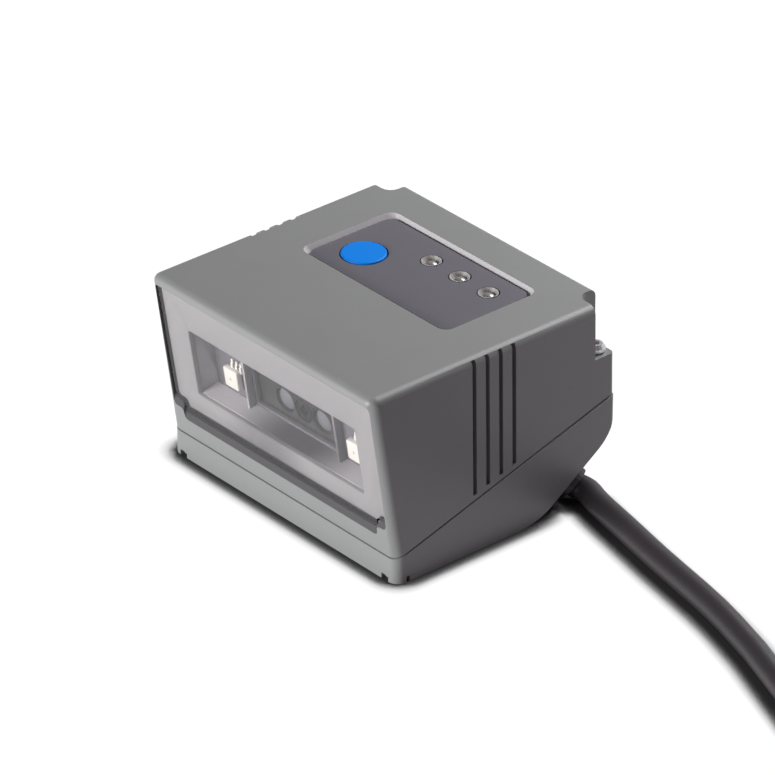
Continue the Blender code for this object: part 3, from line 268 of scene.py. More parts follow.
@dataclass(frozen=True)
class Moulded:
    """Injection-moulded plastic or rubber: an even colour with a fine tool texture.

    The mottling is what flow and handling leave, and the grain is the spark-eroded
    texture of the mould, drawn a little coarser than it is so that it shows.
    """

    name: str
    colour: str
    roughness: float
    grain_mm: float = 0.25
    grain_depth: float = 0.12
    mottle: float = 0.03
    mottle_mm: float = 9.0
    ior: float = 1.5
    painted_shading: PaintedShading | None = None
    gloss_spread: float = 0.05

    def mottled(
        self, tree: bpy.types.NodeTree, place: bpy.types.NodeSocket,
    ) -> bpy.types.NodeSocket:
        """Vary the colour a little from place to place.

        Args:
            tree: Node tree of the material.
            place: Position on the surface.

        Returns:
            Output with the colour.
        """
        red, green, blue, _ = hex_linear(self.colour)
        low, high = 1.0 - self.mottle, 1.0 + self.mottle
        return mix_colour(
            tree, noise(tree, place, self.mottle_mm * MM, 2.0),
            (red * low, green * low, blue * low, 1.0),
            (red * high, green * high, blue * high, 1.0))

    def build(self) -> bpy.types.Material:
        """Build the material.

        Returns:
            The new material.
        """
        made, tree = empty_material(self.name)
        place = add_node(tree, "ShaderNodeTexCoord").outputs["Object"]
        colour = self.mottled(tree, place)
        # Painted light and shade laid over the colour, where the finish has it
        if self.painted_shading:
            colour = self.painted_shading.over(tree, place, colour)
        grain = noise(tree, place, self.grain_mm * MM, 1.0)
        bump = add_node(tree, "ShaderNodeBump", None, {
            "Strength": self.grain_depth, "Distance": self.grain_mm * MM, "Height": grain})
        gloss = remap(tree, grain, (
            self.roughness - self.gloss_spread, self.roughness + self.gloss_spread))
        shader = add_node(tree, "ShaderNodeBsdfPrincipled", None, {
            "Base Color": colour, "Roughness": gloss,
            "IOR": self.ior, "Normal": bump.outputs["Normal"]})
        add_node(tree, "ShaderNodeOutputMaterial", None, {"Surface": shader.outputs["BSDF"]})
        return made


@dataclass(frozen=True)
class Clear:
    """Clear moulded optic or pane: it bends sight a little and lets the lamps through."""

    name: str
    tint: str
    roughness: float
    ior: float = 1.49
    haze_mm: float = 6.0
    haze_spread: float = 0.02

    def build(self) -> bpy.types.Material:
        """Build the material.

        Returns:
            The new material.
        """
        made, tree = empty_material(self.name)
        place = add_node(tree, "ShaderNodeTexCoord").outputs["Object"]
        haze = noise(tree, place, self.haze_mm * MM, 3.0)
        gloss = remap(tree, haze, (self.roughness, self.roughness + self.haze_spread))
        shader = add_node(tree, "ShaderNodeBsdfPrincipled", None, {
            "Base Color": hex_linear(self.tint), "Roughness": gloss,
            "IOR": self.ior, "Transmission Weight": 1.0})
        through = add_node(tree, "ShaderNodeBsdfTransparent", None, {
            "Color": hex_linear(self.tint)})
        both = add_node(tree, "ShaderNodeMixShader", None, {
            0: ray_is(tree, "Shadow", "Diffuse"), 1: shader.outputs["BSDF"],
            2: through.outputs["BSDF"]})
        add_node(tree, "ShaderNodeOutputMaterial", None, {"Surface": both.outputs["Shader"]})
        return made


@dataclass(frozen=True)
class Metal:
    """Bare or plated metal with the fine lines that turning or rolling leaves."""

    name: str
    colour: str
    roughness: float
    line_mm: float = 0.1
    line_depth: float = 0.1
    gloss_spread: float = 0.08

    def build(self) -> bpy.types.Material:
        """Build the material.

        Returns:
            The new material.
        """
        made, tree = empty_material(self.name)
        place = add_node(tree, "ShaderNodeTexCoord").outputs["Object"]
        lines = noise(tree, place, self.line_mm * MM, 2.0)
        gloss = remap(tree, lines, (
            self.roughness - self.gloss_spread, self.roughness + self.gloss_spread))
        bump = add_node(tree, "ShaderNodeBump", None, {
            "Strength": self.line_depth, "Distance": self.line_mm * MM, "Height": lines})
        shader = add_node(tree, "ShaderNodeBsdfPrincipled", None, {
            "Base Color": hex_linear(self.colour), "Metallic": 1.0,
            "Roughness": gloss, "Normal": bump.outputs["Normal"]})
        add_node(tree, "ShaderNodeOutputMaterial", None, {"Surface": shader.outputs["BSDF"]})
        return made


# Shapes taken from the frame

# Corners closer than the first are one, faces that differ by less than the second are one
# flat face, and an edge that turns by more than the third is rounded
JOIN_DISTANCE = 1e-6
FLAT_ANGLE = math.radians(0.3)
EDGE_ANGLE = math.radians(40.0)


def new_piece(
    name: str,
    shape: bmesh.types.BMesh,
    *finishes: bpy.types.Material,
    smooth_angle: float = 32.0,
) -> bpy.types.Object:
    """Turn a bmesh into a named piece with its finishes.

    Args:
        name: Name of the piece.
        shape: Mesh to use, which is freed.
        finishes: Materials in the order of the faces' material numbers.
        smooth_angle: Edges sharper than this many degrees stay sharp.

    Returns:
        The new object, at the origin.
    """
    mesh = bpy.data.meshes.new(name)
    shape.to_mesh(mesh)
    shape.free()
    mesh.shade_smooth()
    mesh.set_sharp_from_angle(angle=math.radians(smooth_angle))
    for finish in finishes:
        mesh.materials.append(finish)
    made = bpy.data.objects.new(name, mesh)
    bpy.context.scene.collection.objects.link(made)
    return made


def frame_copy(node: bpy.types.Object) -> bmesh.types.BMesh:
    """Copy a frame node's loose triangles and join them into clean faces.

    Args:
        node: Frame node, which stays as it is.

    Returns:
        The copy.
    """
    shape = bmesh.new()
    shape.from_mesh(node.data)
    bmesh.ops.remove_doubles(shape, verts=shape.verts, dist=JOIN_DISTANCE)
    bmesh.ops.dissolve_limit(
        shape, angle_limit=FLAT_ANGLE, verts=shape.verts, edges=shape.edges,
        use_dissolve_boundaries=False)
    return shape


def soften(shape: bmesh.types.BMesh, width: float, segments: int = 2) -> None:
    """Round every sharp edge, as a mould or a cutter leaves it.

    Args:
        shape: Mesh to change.
        width: Width of the rounding in metres.
        segments: Number of faces across the rounding.
    """
    edges = [
        edge for edge in shape.edges
        if len(edge.link_faces) == 2 and edge.calc_face_angle(0.0) > EDGE_ANGLE]
    bmesh.ops.bevel(
        shape, geom=edges, offset=width, offset_type="OFFSET", segments=segments,
        profile=0.5, affect="EDGES", clamp_overlap=True, material=-1)
    bmesh.ops.recalc_face_normals(shape, faces=shape.faces)


def even_shading(piece: bpy.types.Object) -> None:
    """Keep broad faces flat beside their rounded edges."""
    weighted = piece.modifiers.new("even_shading", "WEIGHTED_NORMAL")
    weighted.keep_sharp = True


def within(value: float, span: Span) -> bool:
    """Tell whether a value lies inside a span."""
    return span[0] < value < span[1]


def rectangle(left: float, right: float, top: float, bottom: float) -> list[Span]:
    """Return the outline of a rectangle, across and down the window's face."""
    return [(left, top), (right, top), (right, bottom), (left, bottom)]


def turned(profile: Sequence[Span], centre: Point, steps: int = 48) -> bmesh.types.BMesh:
    """Spin a profile of radii and heights around an upright axis.

    Args:
        profile: Radius and height of each point, from the axis outwards and back.
        centre: Place of the axis and of height zero.
        steps: Number of faces around.

    Returns:
        The closed mesh.
    """
    shape = bmesh.new()
    middle = Vector(centre)
    verts = [shape.verts.new(middle + Vector((radius, 0.0, height))) for radius, height in profile]
    edges = [shape.edges.new(pair) for pair in zip(verts, verts[1:])]
    bmesh.ops.spin(
        shape, geom=verts + edges, cent=middle, axis=(0.0, 0.0, 1.0),
        angle=2.0 * math.pi, steps=steps, use_merge=True)
    bmesh.ops.remove_doubles(shape, verts=shape.verts, dist=1e-7)
    bmesh.ops.recalc_face_normals(shape, faces=shape.faces)
    return shape


# Sub-assemblies


@dataclass
class Workshop:
    """The loaded frame, with short ways to dress its nodes and stand in for them."""

    frame: dict
    made: list[str] = field(default_factory=list)

    def node(self, name: str) -> bpy.types.Object:
        """Return a frame node by name."""
        return self.frame["nodes"][name]

    def extent(self, name: str) -> tuple[Vector, Vector]:
        """Return the lowest and highest corner of a frame node."""
        axes = list(zip(*(vert.co for vert in self.node(name).data.vertices)))
        return Vector([min(axis) for axis in axes]), Vector([max(axis) for axis in axes])

    def dress(self, names: Sequence[str], finish: bpy.types.Material) -> None:
        """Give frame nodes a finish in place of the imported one.

        Args:
            names: Frame nodes.
            finish: Material that they get.
        """
        for name in names:
            node = self.node(name)
            node.data.materials.clear()
            node.data.materials.append(finish)
            LOG.info("dressed %s", name)

    def stand_in(
        self, piece: bpy.types.Object, body: Body, slot: str, nodes: Sequence[str],
    ) -> None:
        """Let a piece ride on a body and stand for frame nodes.

        Args:
            piece: Finished piece.
            body: Body that it moves with.
            slot: Material slot of the record; not used.
            nodes: Frame nodes that it replaces.
        """
        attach(piece, body.value)
        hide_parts(*nodes)
        self.made.append(piece.name)
        LOG.info("made %s", piece.name)

    def refine(
        self, node: str, name: str, finish: bpy.types.Material, slot: str,
        width: float, body: Body = Body.READER,
    ) -> None:
        """Stand a copy of a frame node with rounded edges in its place.

        Args:
            node: Frame node to copy.
            name: Name of the copy.
            finish: Material of the copy.
            slot: Material slot of the record, handed on to stand_in.
            width: Width of the rounding in metres.
            body: Body that it moves with.
        """
        shape = frame_copy(self.node(node))
        soften(shape, width)
        piece = new_piece(name, shape, finish)
        even_shading(piece)
        self.stand_in(piece, body, slot, [node])


@dataclass
class Shells:
    """The two moulded halves of the housing.

    The ledge is bounded in the window's own frame: to both sides, down the face (s) and
    into it (depth). The recess and the notches are bounded in the shared frame.
    """

    shop: Workshop
    edge: float = 0.25 * MM
    ledge_half: float = 32.4 * MM
    ledge_s: Span = (29.0 * MM, 33.6 * MM)
    ledge_depth: Span = (0.03 * MM, 0.9 * MM)
    recess_x: Span = (-21.9 * MM, 21.9 * MM)
    recess_y: Span = (-2.6 * MM, 21.7 * MM)
    recess_z: Span = (41.0 * MM, 42.45 * MM)
    recess_rise: Span = (0.2, 0.9)
    groove_y: float = -5.1 * MM
    groove_pitch: float = 3.37 * MM
    notch_x: float = -31.0 * MM
    notch_reach_y: float = 6.0 * MM
    notch_z: float = 41.0 * MM
    notch_widening: float = 2.1
    notch_wall_x: float = -31.64 * MM

    def build(self) -> None:
        """Build both halves in mid grey moulded plastic, with painted shade on the ledge under the
        pane and painted light on the recess walls.
        """
        # ABS and polycarbonate blend, moulded with a fine spark texture: even and matt
        grey = Moulded("shell_abs_grey", "858786", 0.45, grain_mm=0.3, grain_depth=0.1).build()
        # Painted shade on the ledge under the pane: a dull dark finish where the step lies in
        # shade
        painted_shade = Moulded("sill_painted_shade", "4B4A4C", 0.8, grain_mm=0.4).build()
        # Painted light on the sloping walls of the panel's recess: the same plastic drawn paler,
        # and smoother
        recess_light = Moulded(
            "recess_abs_painted_light", "BDBBBC", 0.3, grain_mm=0.3, grain_depth=0.03).build()
        shape = frame_copy(self.shop.node("upper_housing"))
        self.widen_notches(shape)
        soften(shape, self.edge)
        window = Window(self.shop)
        for face in shape.faces:
            face.material_index = self.finish_number(face, window)
        piece = new_piece("top_shell", shape, grey, painted_shade, recess_light)
        even_shading(piece)
        self.shop.stand_in(piece, Body.READER, "shell_grey", ["upper_housing"])
        self.shop.refine(
            "lower_housing", "base_shell", grey, "shell_grey", width=self.edge)

    def finish_number(self, face: bmesh.types.BMFace, window: Window) -> int:
        """Choose the finish of one face of the upper half.

        Args:
            face: Face of the upper half.
            window: Window whose frame bounds the ledge.

        Returns:
            0 for the grey shell, 1 for the painted shade on the ledge, 2 for the painted light on
            the recess walls.
        """
        middle = face.calc_center_median()
        s, depth = window.reading(middle)
        # The ledge under the pane gets the painted shade
        on_ledge = within(s, self.ledge_s) and within(depth, self.ledge_depth)
        if on_ledge and abs(middle.x) < self.ledge_half:
            return 1
        # The sloping walls of the recess get the painted light
        in_recess = (
            within(middle.x, self.recess_x) and within(middle.y, self.recess_y)
            and within(middle.z, self.recess_z))
        return 2 if in_recess and within(face.normal.z, self.recess_rise) else 0

    def widen_notches(self, shape: bmesh.types.BMesh) -> None:
        """Widen the notches where the left grooves run over the top edge.

        Args:
            shape: Mesh of the upper half, before its edges are rounded.
        """
        for vert in shape.verts:
            x, y, z = vert.co
            if x < self.notch_x and abs(y) < self.notch_reach_y and z > self.notch_z:
                number = round((y - self.groove_y) / self.groove_pitch)
                centre = self.groove_y + self.groove_pitch * number
                vert.co.y = centre + (y - centre) * self.notch_widening
                vert.co.x = min(x, self.notch_wall_x)


@dataclass
class Window:
    """Pane, pale frame behind it and the optics that show through.

    Places in the window are given as across (x), down the leaning face from the top edge
    (s) and into it (depth), as in the CAD source. The opening is half its width and where
    it starts and ends down the face.
    """

    shop: Workshop
    top_front: Span = (-0.031, 0.0425)
    lean: float = math.radians(9.0)
    opening: Point = (25.0 * MM, 10.8 * MM, 26.3 * MM)
    corner_reach: float = 3.1 * MM
    corner_share: float = 0.2
    painted_shade_line: float = 30.75 * MM
    painted_shade_from: float = 8.2 * MM
    tray_overlap: float = 0.3 * MM
    tray_rise: float = 0.1 * MM
    tray_sink: float = 0.5 * MM
    tray_depth: Span = (2.6 * MM, 7.0 * MM)
    board_half: float = 25.2 * MM
    board_s: Span = (8.8 * MM, 28.2 * MM)
    board_depth: Span = (7.1 * MM, 8.1 * MM)
    notch_half: float = 12.9 * MM
    notch_sill: float = 25.6 * MM
    lamp_x: float = 18.59 * MM
    lamp_s: float = 21.6 * MM
    lamp_half: Span = (2.05 * MM, 2.25 * MM)
    lamp_depth: Span = (5.4 * MM, 6.8 * MM)
    lead_half: float = 0.28 * MM
    lead_shift: float = 0.9 * MM
    lead_pitch: float = 1.3 * MM
    optic_x: float = 5.6 * MM
    optic_s: float = 22.2 * MM
    optic_depth: float = 9.4 * MM

    def spot(self, x: float, s: float, depth: float) -> Vector:
        """Turn a place in the window into a point of the shared frame.

        Args:
            x: Distance across.
            s: Distance down the face.
            depth: Distance into the face.

        Returns:
            The point.
        """
        sin, cos = math.sin(self.lean), math.cos(self.lean)
        front, top = self.top_front
        return Vector((x, front + s * sin + depth * cos, top - s * cos + depth * sin))

    def reading(self, point: Vector) -> Span:
        """Turn a point of the shared frame into a place in the window.

        Args:
            point: The point.

        Returns:
            How far down the face and how far into it the point lies.
        """
        sin, cos = math.sin(self.lean), math.cos(self.lean)
        y, z = point.y - self.top_front[0], point.z - self.top_front[1]
        return y * sin - z * cos, y * cos + z * sin

    def heading(self, s: float, depth: float) -> Vector:
        """Return the direction of a step down the face and into it."""
        return self.spot(0.0, s, depth) - self.spot(0.0, 0.0, 0.0)

    def plate(
        self, shape: bmesh.types.BMesh, outline: Sequence[Span], near: float, far: float,
        finish: int = 0,
    ) -> None:
        """Add a plate square to the face.

        Args:
            shape: Mesh that receives the plate.
            outline: Points across and down the face.
            near: Depth of the front.
            far: Depth of the back.
            finish: Number of the plate's finish.
        """
        front = [shape.verts.new(self.spot(x, s, near)) for x, s in outline]
        back = [shape.verts.new(self.spot(x, s, far)) for x, s in outline]
        faces = [shape.faces.new(front), shape.faces.new(back[::-1])]
        for i in range(len(outline)):
            j = (i + 1) % len(outline)
            faces.append(shape.faces.new((front[j], front[i], back[i], back[j])))
        for face in faces:
            face.material_index = finish
        bmesh.ops.recalc_face_normals(shape, faces=faces)

    def build(self) -> None:
        """Build the window's parts."""
        self.pane()
        self.frame()
        self.chassis()
        self.board()
        for side, label in ((-1, "left"), (1, "right")):
            self.lamp(side, label)
            self.optic(side, label)
        # Polished and bloomed lens glass
        glass = Clear("lens_glass", "F0F2F4", 0.01).build()
        self.shop.dress(["camera_lens"], glass)
        # Anodised aluminium barrel and the sensor's dark cover
        black = Moulded("barrel_anodised_black", "1C1B1E", 0.3).build()
        self.shop.dress(["lens_barrel", "imager_sensor"], black)

    def pane(self) -> None:
        """Build the pane, with painted shade on its lower strip and on its cut edges."""
        # Cast acrylic with a hard coat that halves what it mirrors, its cut edges kept sharp
        clear = Clear("window_acrylic", "F5F4F4", 0.01, ior=1.3).build()
        # Painted shade on the pane's lower strip and cut edges: a dull dark finish where shade
        # lies under and beside it
        painted_shade = Moulded("pane_edge_painted_shade", "343336", 0.8, grain_mm=0.4).build()
        shape = frame_copy(self.shop.node("window_pane"))
        bmesh.ops.bisect_plane(
            shape, geom=[*shape.verts, *shape.edges, *shape.faces],
            plane_co=self.spot(0.0, self.painted_shade_line, 0.0), plane_no=self.heading(1.0, 0.0))
        shape.normal_update()
        inward = self.heading(0.0, 1.0)
        # Faces below the line and the cut edges get the painted shade
        for face in shape.faces:
            low = self.reading(face.calc_center_median())[0] > self.painted_shade_line
            side = abs(face.normal.dot(inward)) < 0.5
            face.material_index = int(low or side)
        self.shop.stand_in(
            new_piece("front_pane", shape, clear, painted_shade), Body.READER, "window_acrylic",
            ["window_pane"])

    def tighten_corners(self, shape: bmesh.types.BMesh) -> None:
        """Pull the rounded corners of the frame's opening out, so that they turn sharper.

        Args:
            shape: Mesh of the frame.
        """
        half, top, bottom = self.opening
        slack = 0.01 * MM
        for vert in shape.verts:
            s, depth = self.reading(vert.co)
            corner_x = math.copysign(half, vert.co.x)
            corner_s = top if s < (top + bottom) / 2.0 else bottom
            across, down = vert.co.x - corner_x, s - corner_s
            on_edge = abs(vert.co.x) < half + slack and within(s, (top - slack, bottom + slack))
            if on_edge and max(abs(across), abs(down)) < self.corner_reach:
                vert.co = self.spot(
                    corner_x + across * self.corner_share,
                    corner_s + down * self.corner_share, depth)

    def frame(self) -> None:
        """Build the pale frame around the optics."""
        shape = frame_copy(self.shop.node("window_bezel"))
        self.tighten_corners(shape)
        soften(shape, width=0.25 * MM)
        # Pale satin ABS with painted shade: drawn darker below the camera, for the shade and dark
        # reflection there
        below_camera = self.spot(-4.5 * MM, 28.0 * MM, 1.7 * MM)
        pale = Moulded(
            "frame_abs_pale_painted_shade", "9C9B9D", 0.45, grain_mm=0.2, grain_depth=0.05,
            painted_shading=PaintedShading("727075", below_camera, near=2.0 * MM, far=15.0 * MM)).build()
        self.shop.stand_in(
            new_piece("window_frame", shape, pale), Body.READER, "bezel_grey", ["window_bezel"])

    def chassis(self) -> None:
        """Build the optics' chassis with the sloping tray under the lamps."""
        shape = frame_copy(self.shop.node("optical_chassis"))
        soften(shape, width=0.2 * MM)
        # Faces deeper than the given depth get the painted shade
        for face in shape.faces:
            depth = self.reading(face.calc_center_median())[1]
            face.material_index = int(depth > self.painted_shade_from)
        half, bottom = self.opening[0] + self.tray_overlap, self.opening[2]
        self.plate(
            shape, rectangle(-half, half, bottom - self.tray_rise, bottom + self.tray_sink),
            *self.tray_depth, finish=2)
        middle = self.spot(2.0 * MM, 24.0 * MM, 6.0 * MM)
        # Polycarbonate with painted light and shade: dark around the camera and drawn paler
        # towards both ends, where the pane's haze lifts it to sight
        dark = Moulded(
            "chassis_pc_painted_light", "BAB7BF", 0.55, grain_mm=0.2,
            painted_shading=PaintedShading("2C2A2F", middle, near=8.0 * MM, far=20.0 * MM)).build()
        # Painted shade: the same plastic drawn near black deeper inside, where no light gets
        black = Moulded("chassis_pc_painted_shade", "141316", 0.6, grain_mm=0.2).build()
        # Painted light: the same plastic on the tray drawn paler for the light that the window
        # lets in, and darker around the middle as painted shade
        tray_painted_light = Moulded(
            "tray_pc_painted_light", "D4D2D5", 0.5, grain_mm=0.2, grain_depth=0.05,
            painted_shading=PaintedShading("47444B", middle, near=4.0 * MM, far=19.0 * MM)).build()
        self.shop.stand_in(
            new_piece("optics_chassis", shape, dark, black, tray_painted_light),
            Body.READER, "chassis_black", ["optical_chassis"])

    def board(self) -> None:
        """Build the lamp board, cut out around the optics."""
        shape = bmesh.new()
        half, (top, bottom) = self.board_half, self.board_s
        notch, sill = self.notch_half, self.notch_sill
        self.plate(shape, [
            (-half, top), (-notch, top), (-notch, sill), (notch, sill), (notch, top), (half, top),
            (half, bottom), (-half, bottom)], *self.board_depth)
        soften(shape, width=0.08 * MM)
        # Matt violet-grey solder resist over the copper
        resist = Moulded(
            "lamp_board_resist", "66636C", 0.5, grain_mm=0.3, grain_depth=0.05).build()
        self.shop.stand_in(
            new_piece("lamp_board", shape, resist), Body.READER, "board_green",
            ["illumination_board"])

    def lamp(self, side: int, label: str) -> None:
        """Build one lamp: ceramic package, chip in its face and three bent leads.

        Args:
            side: -1 for the left one, 1 for the right one.
            label: Word for the side in the names.
        """
        shape = bmesh.new()
        x, s = side * self.lamp_x, self.lamp_s
        half_w, half_h = self.lamp_half
        near, far = self.lamp_depth
        self.plate(shape, rectangle(x - half_w, x + half_w, s - half_h, s + half_h), near, far)
        soften(shape, width=0.3 * MM, segments=3)
        # The two steps of a bent lead in mm: start and end over the package, front and back
        steps = ((-0.6, 0.9, 6.45, 6.7), (0.5, 1.6, 6.65, 6.95))
        for index in (-1, 0, 1):
            lead = x + self.lead_shift + index * self.lead_pitch
            for low, high, front, back in steps:
                self.plate(shape, rectangle(
                    lead - self.lead_half, lead + self.lead_half,
                    s - half_h - high * MM, s - half_h - low * MM), front * MM, back * MM)
        # The chip shows as a small cross, half as wide and tall as given here in mm
        for wide, tall in ((0.4, 0.07), (0.07, 0.4)):
            self.plate(
                shape, rectangle(x - wide * MM, x + wide * MM, s - tall * MM, s + tall * MM),
                near - 0.02 * MM, near + 0.1 * MM, finish=1)
        # White ceramic with a satin face, and the yellowish phosphor on the chip
        white = Moulded(
            "lamp_ceramic_white", "FBF8EE", 0.35, grain_mm=0.2, grain_depth=0.02).build()
        chip = Moulded("lamp_chip_yellow", "B9B5A0", 0.4, grain_depth=0.02).build()
        self.shop.stand_in(
            new_piece(f"lamp_{label}", shape, white, chip), Body.READER, "led_white",
            [f"illumination_led_{label}"])

    def optic(self, side: int, label: str) -> None:
        """Build one aiming lens as a domed moulding in its bore.

        Args:
            side: -1 for the left one, 1 for the right one.
            label: Word for the side in the names.
        """
        radius, crown, length = 2.5 * MM, 1.1 * MM, 2.0 * MM
        steps = 8
        angles = [math.pi / 2.0 * i / steps for i in range(steps + 1)]
        dome = [(radius * math.sin(angle), crown * math.cos(angle)) for angle in angles]
        shape = turned([*dome, (radius, -length), (0.0, -length)], (0.0, 0.0, 0.0))
        turn = self.heading(0.0, -1.0).to_track_quat("Z", "Y")
        place = self.spot(side * self.optic_x, self.optic_s, self.optic_depth)
        for vert in shape.verts:
            vert.co = turn @ vert.co + place
        bmesh.ops.recalc_face_normals(shape, faces=shape.faces)
        # Slightly milky polycarbonate, so it catches the light that falls on it
        milky = Moulded("aimer_pc_milky", "75777D", 0.15, grain_depth=0.02).build()
        self.shop.stand_in(
            new_piece(f"aimer_{label}", shape, milky), Body.READER, "lens_clear",
            [f"aiming_lens_{label}"])


# Profile of a light pipe down to its stem, radius and height in mm: a low dome, the groove
# around it, the cup's rising wall, its rim and its outside
LIGHT_PIPE = (
    (0.0, -0.3), (0.35, -0.33), (0.7, -0.43), (0.95, -0.56), (1.1, -0.67), (1.22, -0.79),
    (1.3, -0.95), (1.42, -0.95), (1.52, -0.75), (1.98, 0.0), (2.05, -0.04),
    (2.05, -1.2), (1.6, -1.2))


@dataclass
class ControlPanel:
    """Dark overlay, blue key and three status lights in the top."""

    shop: Workshop
    cup_radius: float = 1.4 * MM
    cup_low: float = -0.9 * MM

    def build(self) -> None:
        """Build the panel's parts."""
        # Printed polyester film, its ink behind a matt hard coat
        dark = Moulded(
            "overlay_film_dark", "66656C", 0.4, grain_mm=0.2, grain_depth=0.05).build()
        self.shop.refine(
            "control_overlay", "panel_overlay", dark, "overlay_grey", width=0.08 * MM)
        # Blue ABS key, satin
        blue = Moulded("key_abs_blue", "007FE2", 0.5, grain_depth=0.04, ior=1.3).build()
        self.shop.refine(
            "trigger_key", "blue_key", blue, "key_blue", width=0.15 * MM, body=Body.KEY)
        for number in (1, 2, 3):
            self.status_light(number)
        # Natural acetal plunger of the switch
        white = Moulded("plunger_white", "DEDDD8", 0.5).build()
        self.shop.dress(["switch_plunger"], white)

    def status_light(self, number: int) -> None:
        """Build one light pipe: a low dome sunk in a pale cup.

        Args:
            number: Number of the light in the names.
        """
        low, high = self.shop.extent(f"status_lens_{number}")
        centre = (low + high) / 2.0
        stem = low.z - high.z
        profile = [(r * MM, z * MM) for r, z in LIGHT_PIPE]
        profile += [(profile[-1][0], stem), (0.0, stem)]
        top = Vector((centre.x, centre.y, high.z))
        shape = turned(profile, tuple(top))
        for face in shape.faces:
            middle = face.calc_center_median() - top
            in_cup = middle.z > self.cup_low and middle.xy.length > self.cup_radius
            face.material_index = int(in_cup)
        # Polished polycarbonate, with the index raised for the air gap under it
        smoke = Moulded(
            "light_pipe_smoke", "8B8987", 0.07, grain_depth=0.02, mottle=0.01, ior=2.1).build()
        # The cup's wall keeps its moulded, satin face
        cup = Moulded("light_cup_satin", "A3A19E", 0.4, grain_mm=0.2, grain_depth=0.03).build()
        piece = new_piece(f"status_light_{number}", shape, smoke, cup, smooth_angle=40.0)
        self.shop.stand_in(piece, Body.READER, "lens_smoke", [f"status_lens_{number}"])


@dataclass
class Inside:
    """Boards, chips and fittings that the housing hides, and the screws in its pockets."""

    shop: Workshop

    def build(self) -> None:
        """Dress each group of nodes in its own material."""
        groups: list[tuple[Moulded | Metal, list[str]]] = [
            # Green solder resist over glass-fibre board
            (Moulded("board_resist_green", "2F5A44", 0.4, grain_mm=0.4),
             ["main_board", "key_board", "imager_board"]),
            # Black epoxy of chip packages, and the dark moulding of switch and beeper
            (Moulded("chip_epoxy_black", "1F1F22", 0.45),
             ["processor_chip", "key_switch", "beeper"]),
            # Off-white nylon of connectors and lamp bodies
            (Moulded("connector_nylon_white", "E6E2D6", 0.5),
             ["cable_connector", "status_led_1", "status_led_2", "status_led_3"]),
            # Amber polyimide of the flat flex
            (Moulded("ribbon_film_amber", "C98A3A", 0.4), ["board_ribbon"]),
            # Zinc-plated steel screws
            (Metal("screw_zinc_plate", "DCDDDF", 0.4), ["rear_screw_left", "rear_screw_right"]),
            # Turned brass inserts
            (Metal("insert_brass", "B9975B", 0.35),
             ["mount_insert_left", "mount_insert_right"]),
        ]
        for finish, names in groups:
            self.shop.dress(names, finish.build())


def smooth(knots: Sequence[Vector], per_span: int) -> list[Vector]:
    """Read a smooth curve through knots.

    Args:
        knots: Points that the curve passes through.
        per_span: Number of points for each stretch between knots.

    Returns:
        Points along the curve.
    """
    ends = [2.0 * knots[0] - knots[1], *knots, 2.0 * knots[-1] - knots[-2]]
    result = []
    for index in range(1, len(ends) - 2):
        p0, p1, p2, p3 = ends[index - 1:index + 3]
        for step in range(per_span):
            t = step / per_span
            # Catmull-Rom spline: it passes through p1 and p2 and leans on p0 and p3
            result.append(0.5 * (
                2.0 * p1 + (p2 - p0) * t + (2.0 * p0 - 5.0 * p1 + 4.0 * p2 - p3) * t ** 2
                + (3.0 * p1 - p0 - 3.0 * p2 + p3) * t ** 3))
    result.append(ends[-2])
    return result


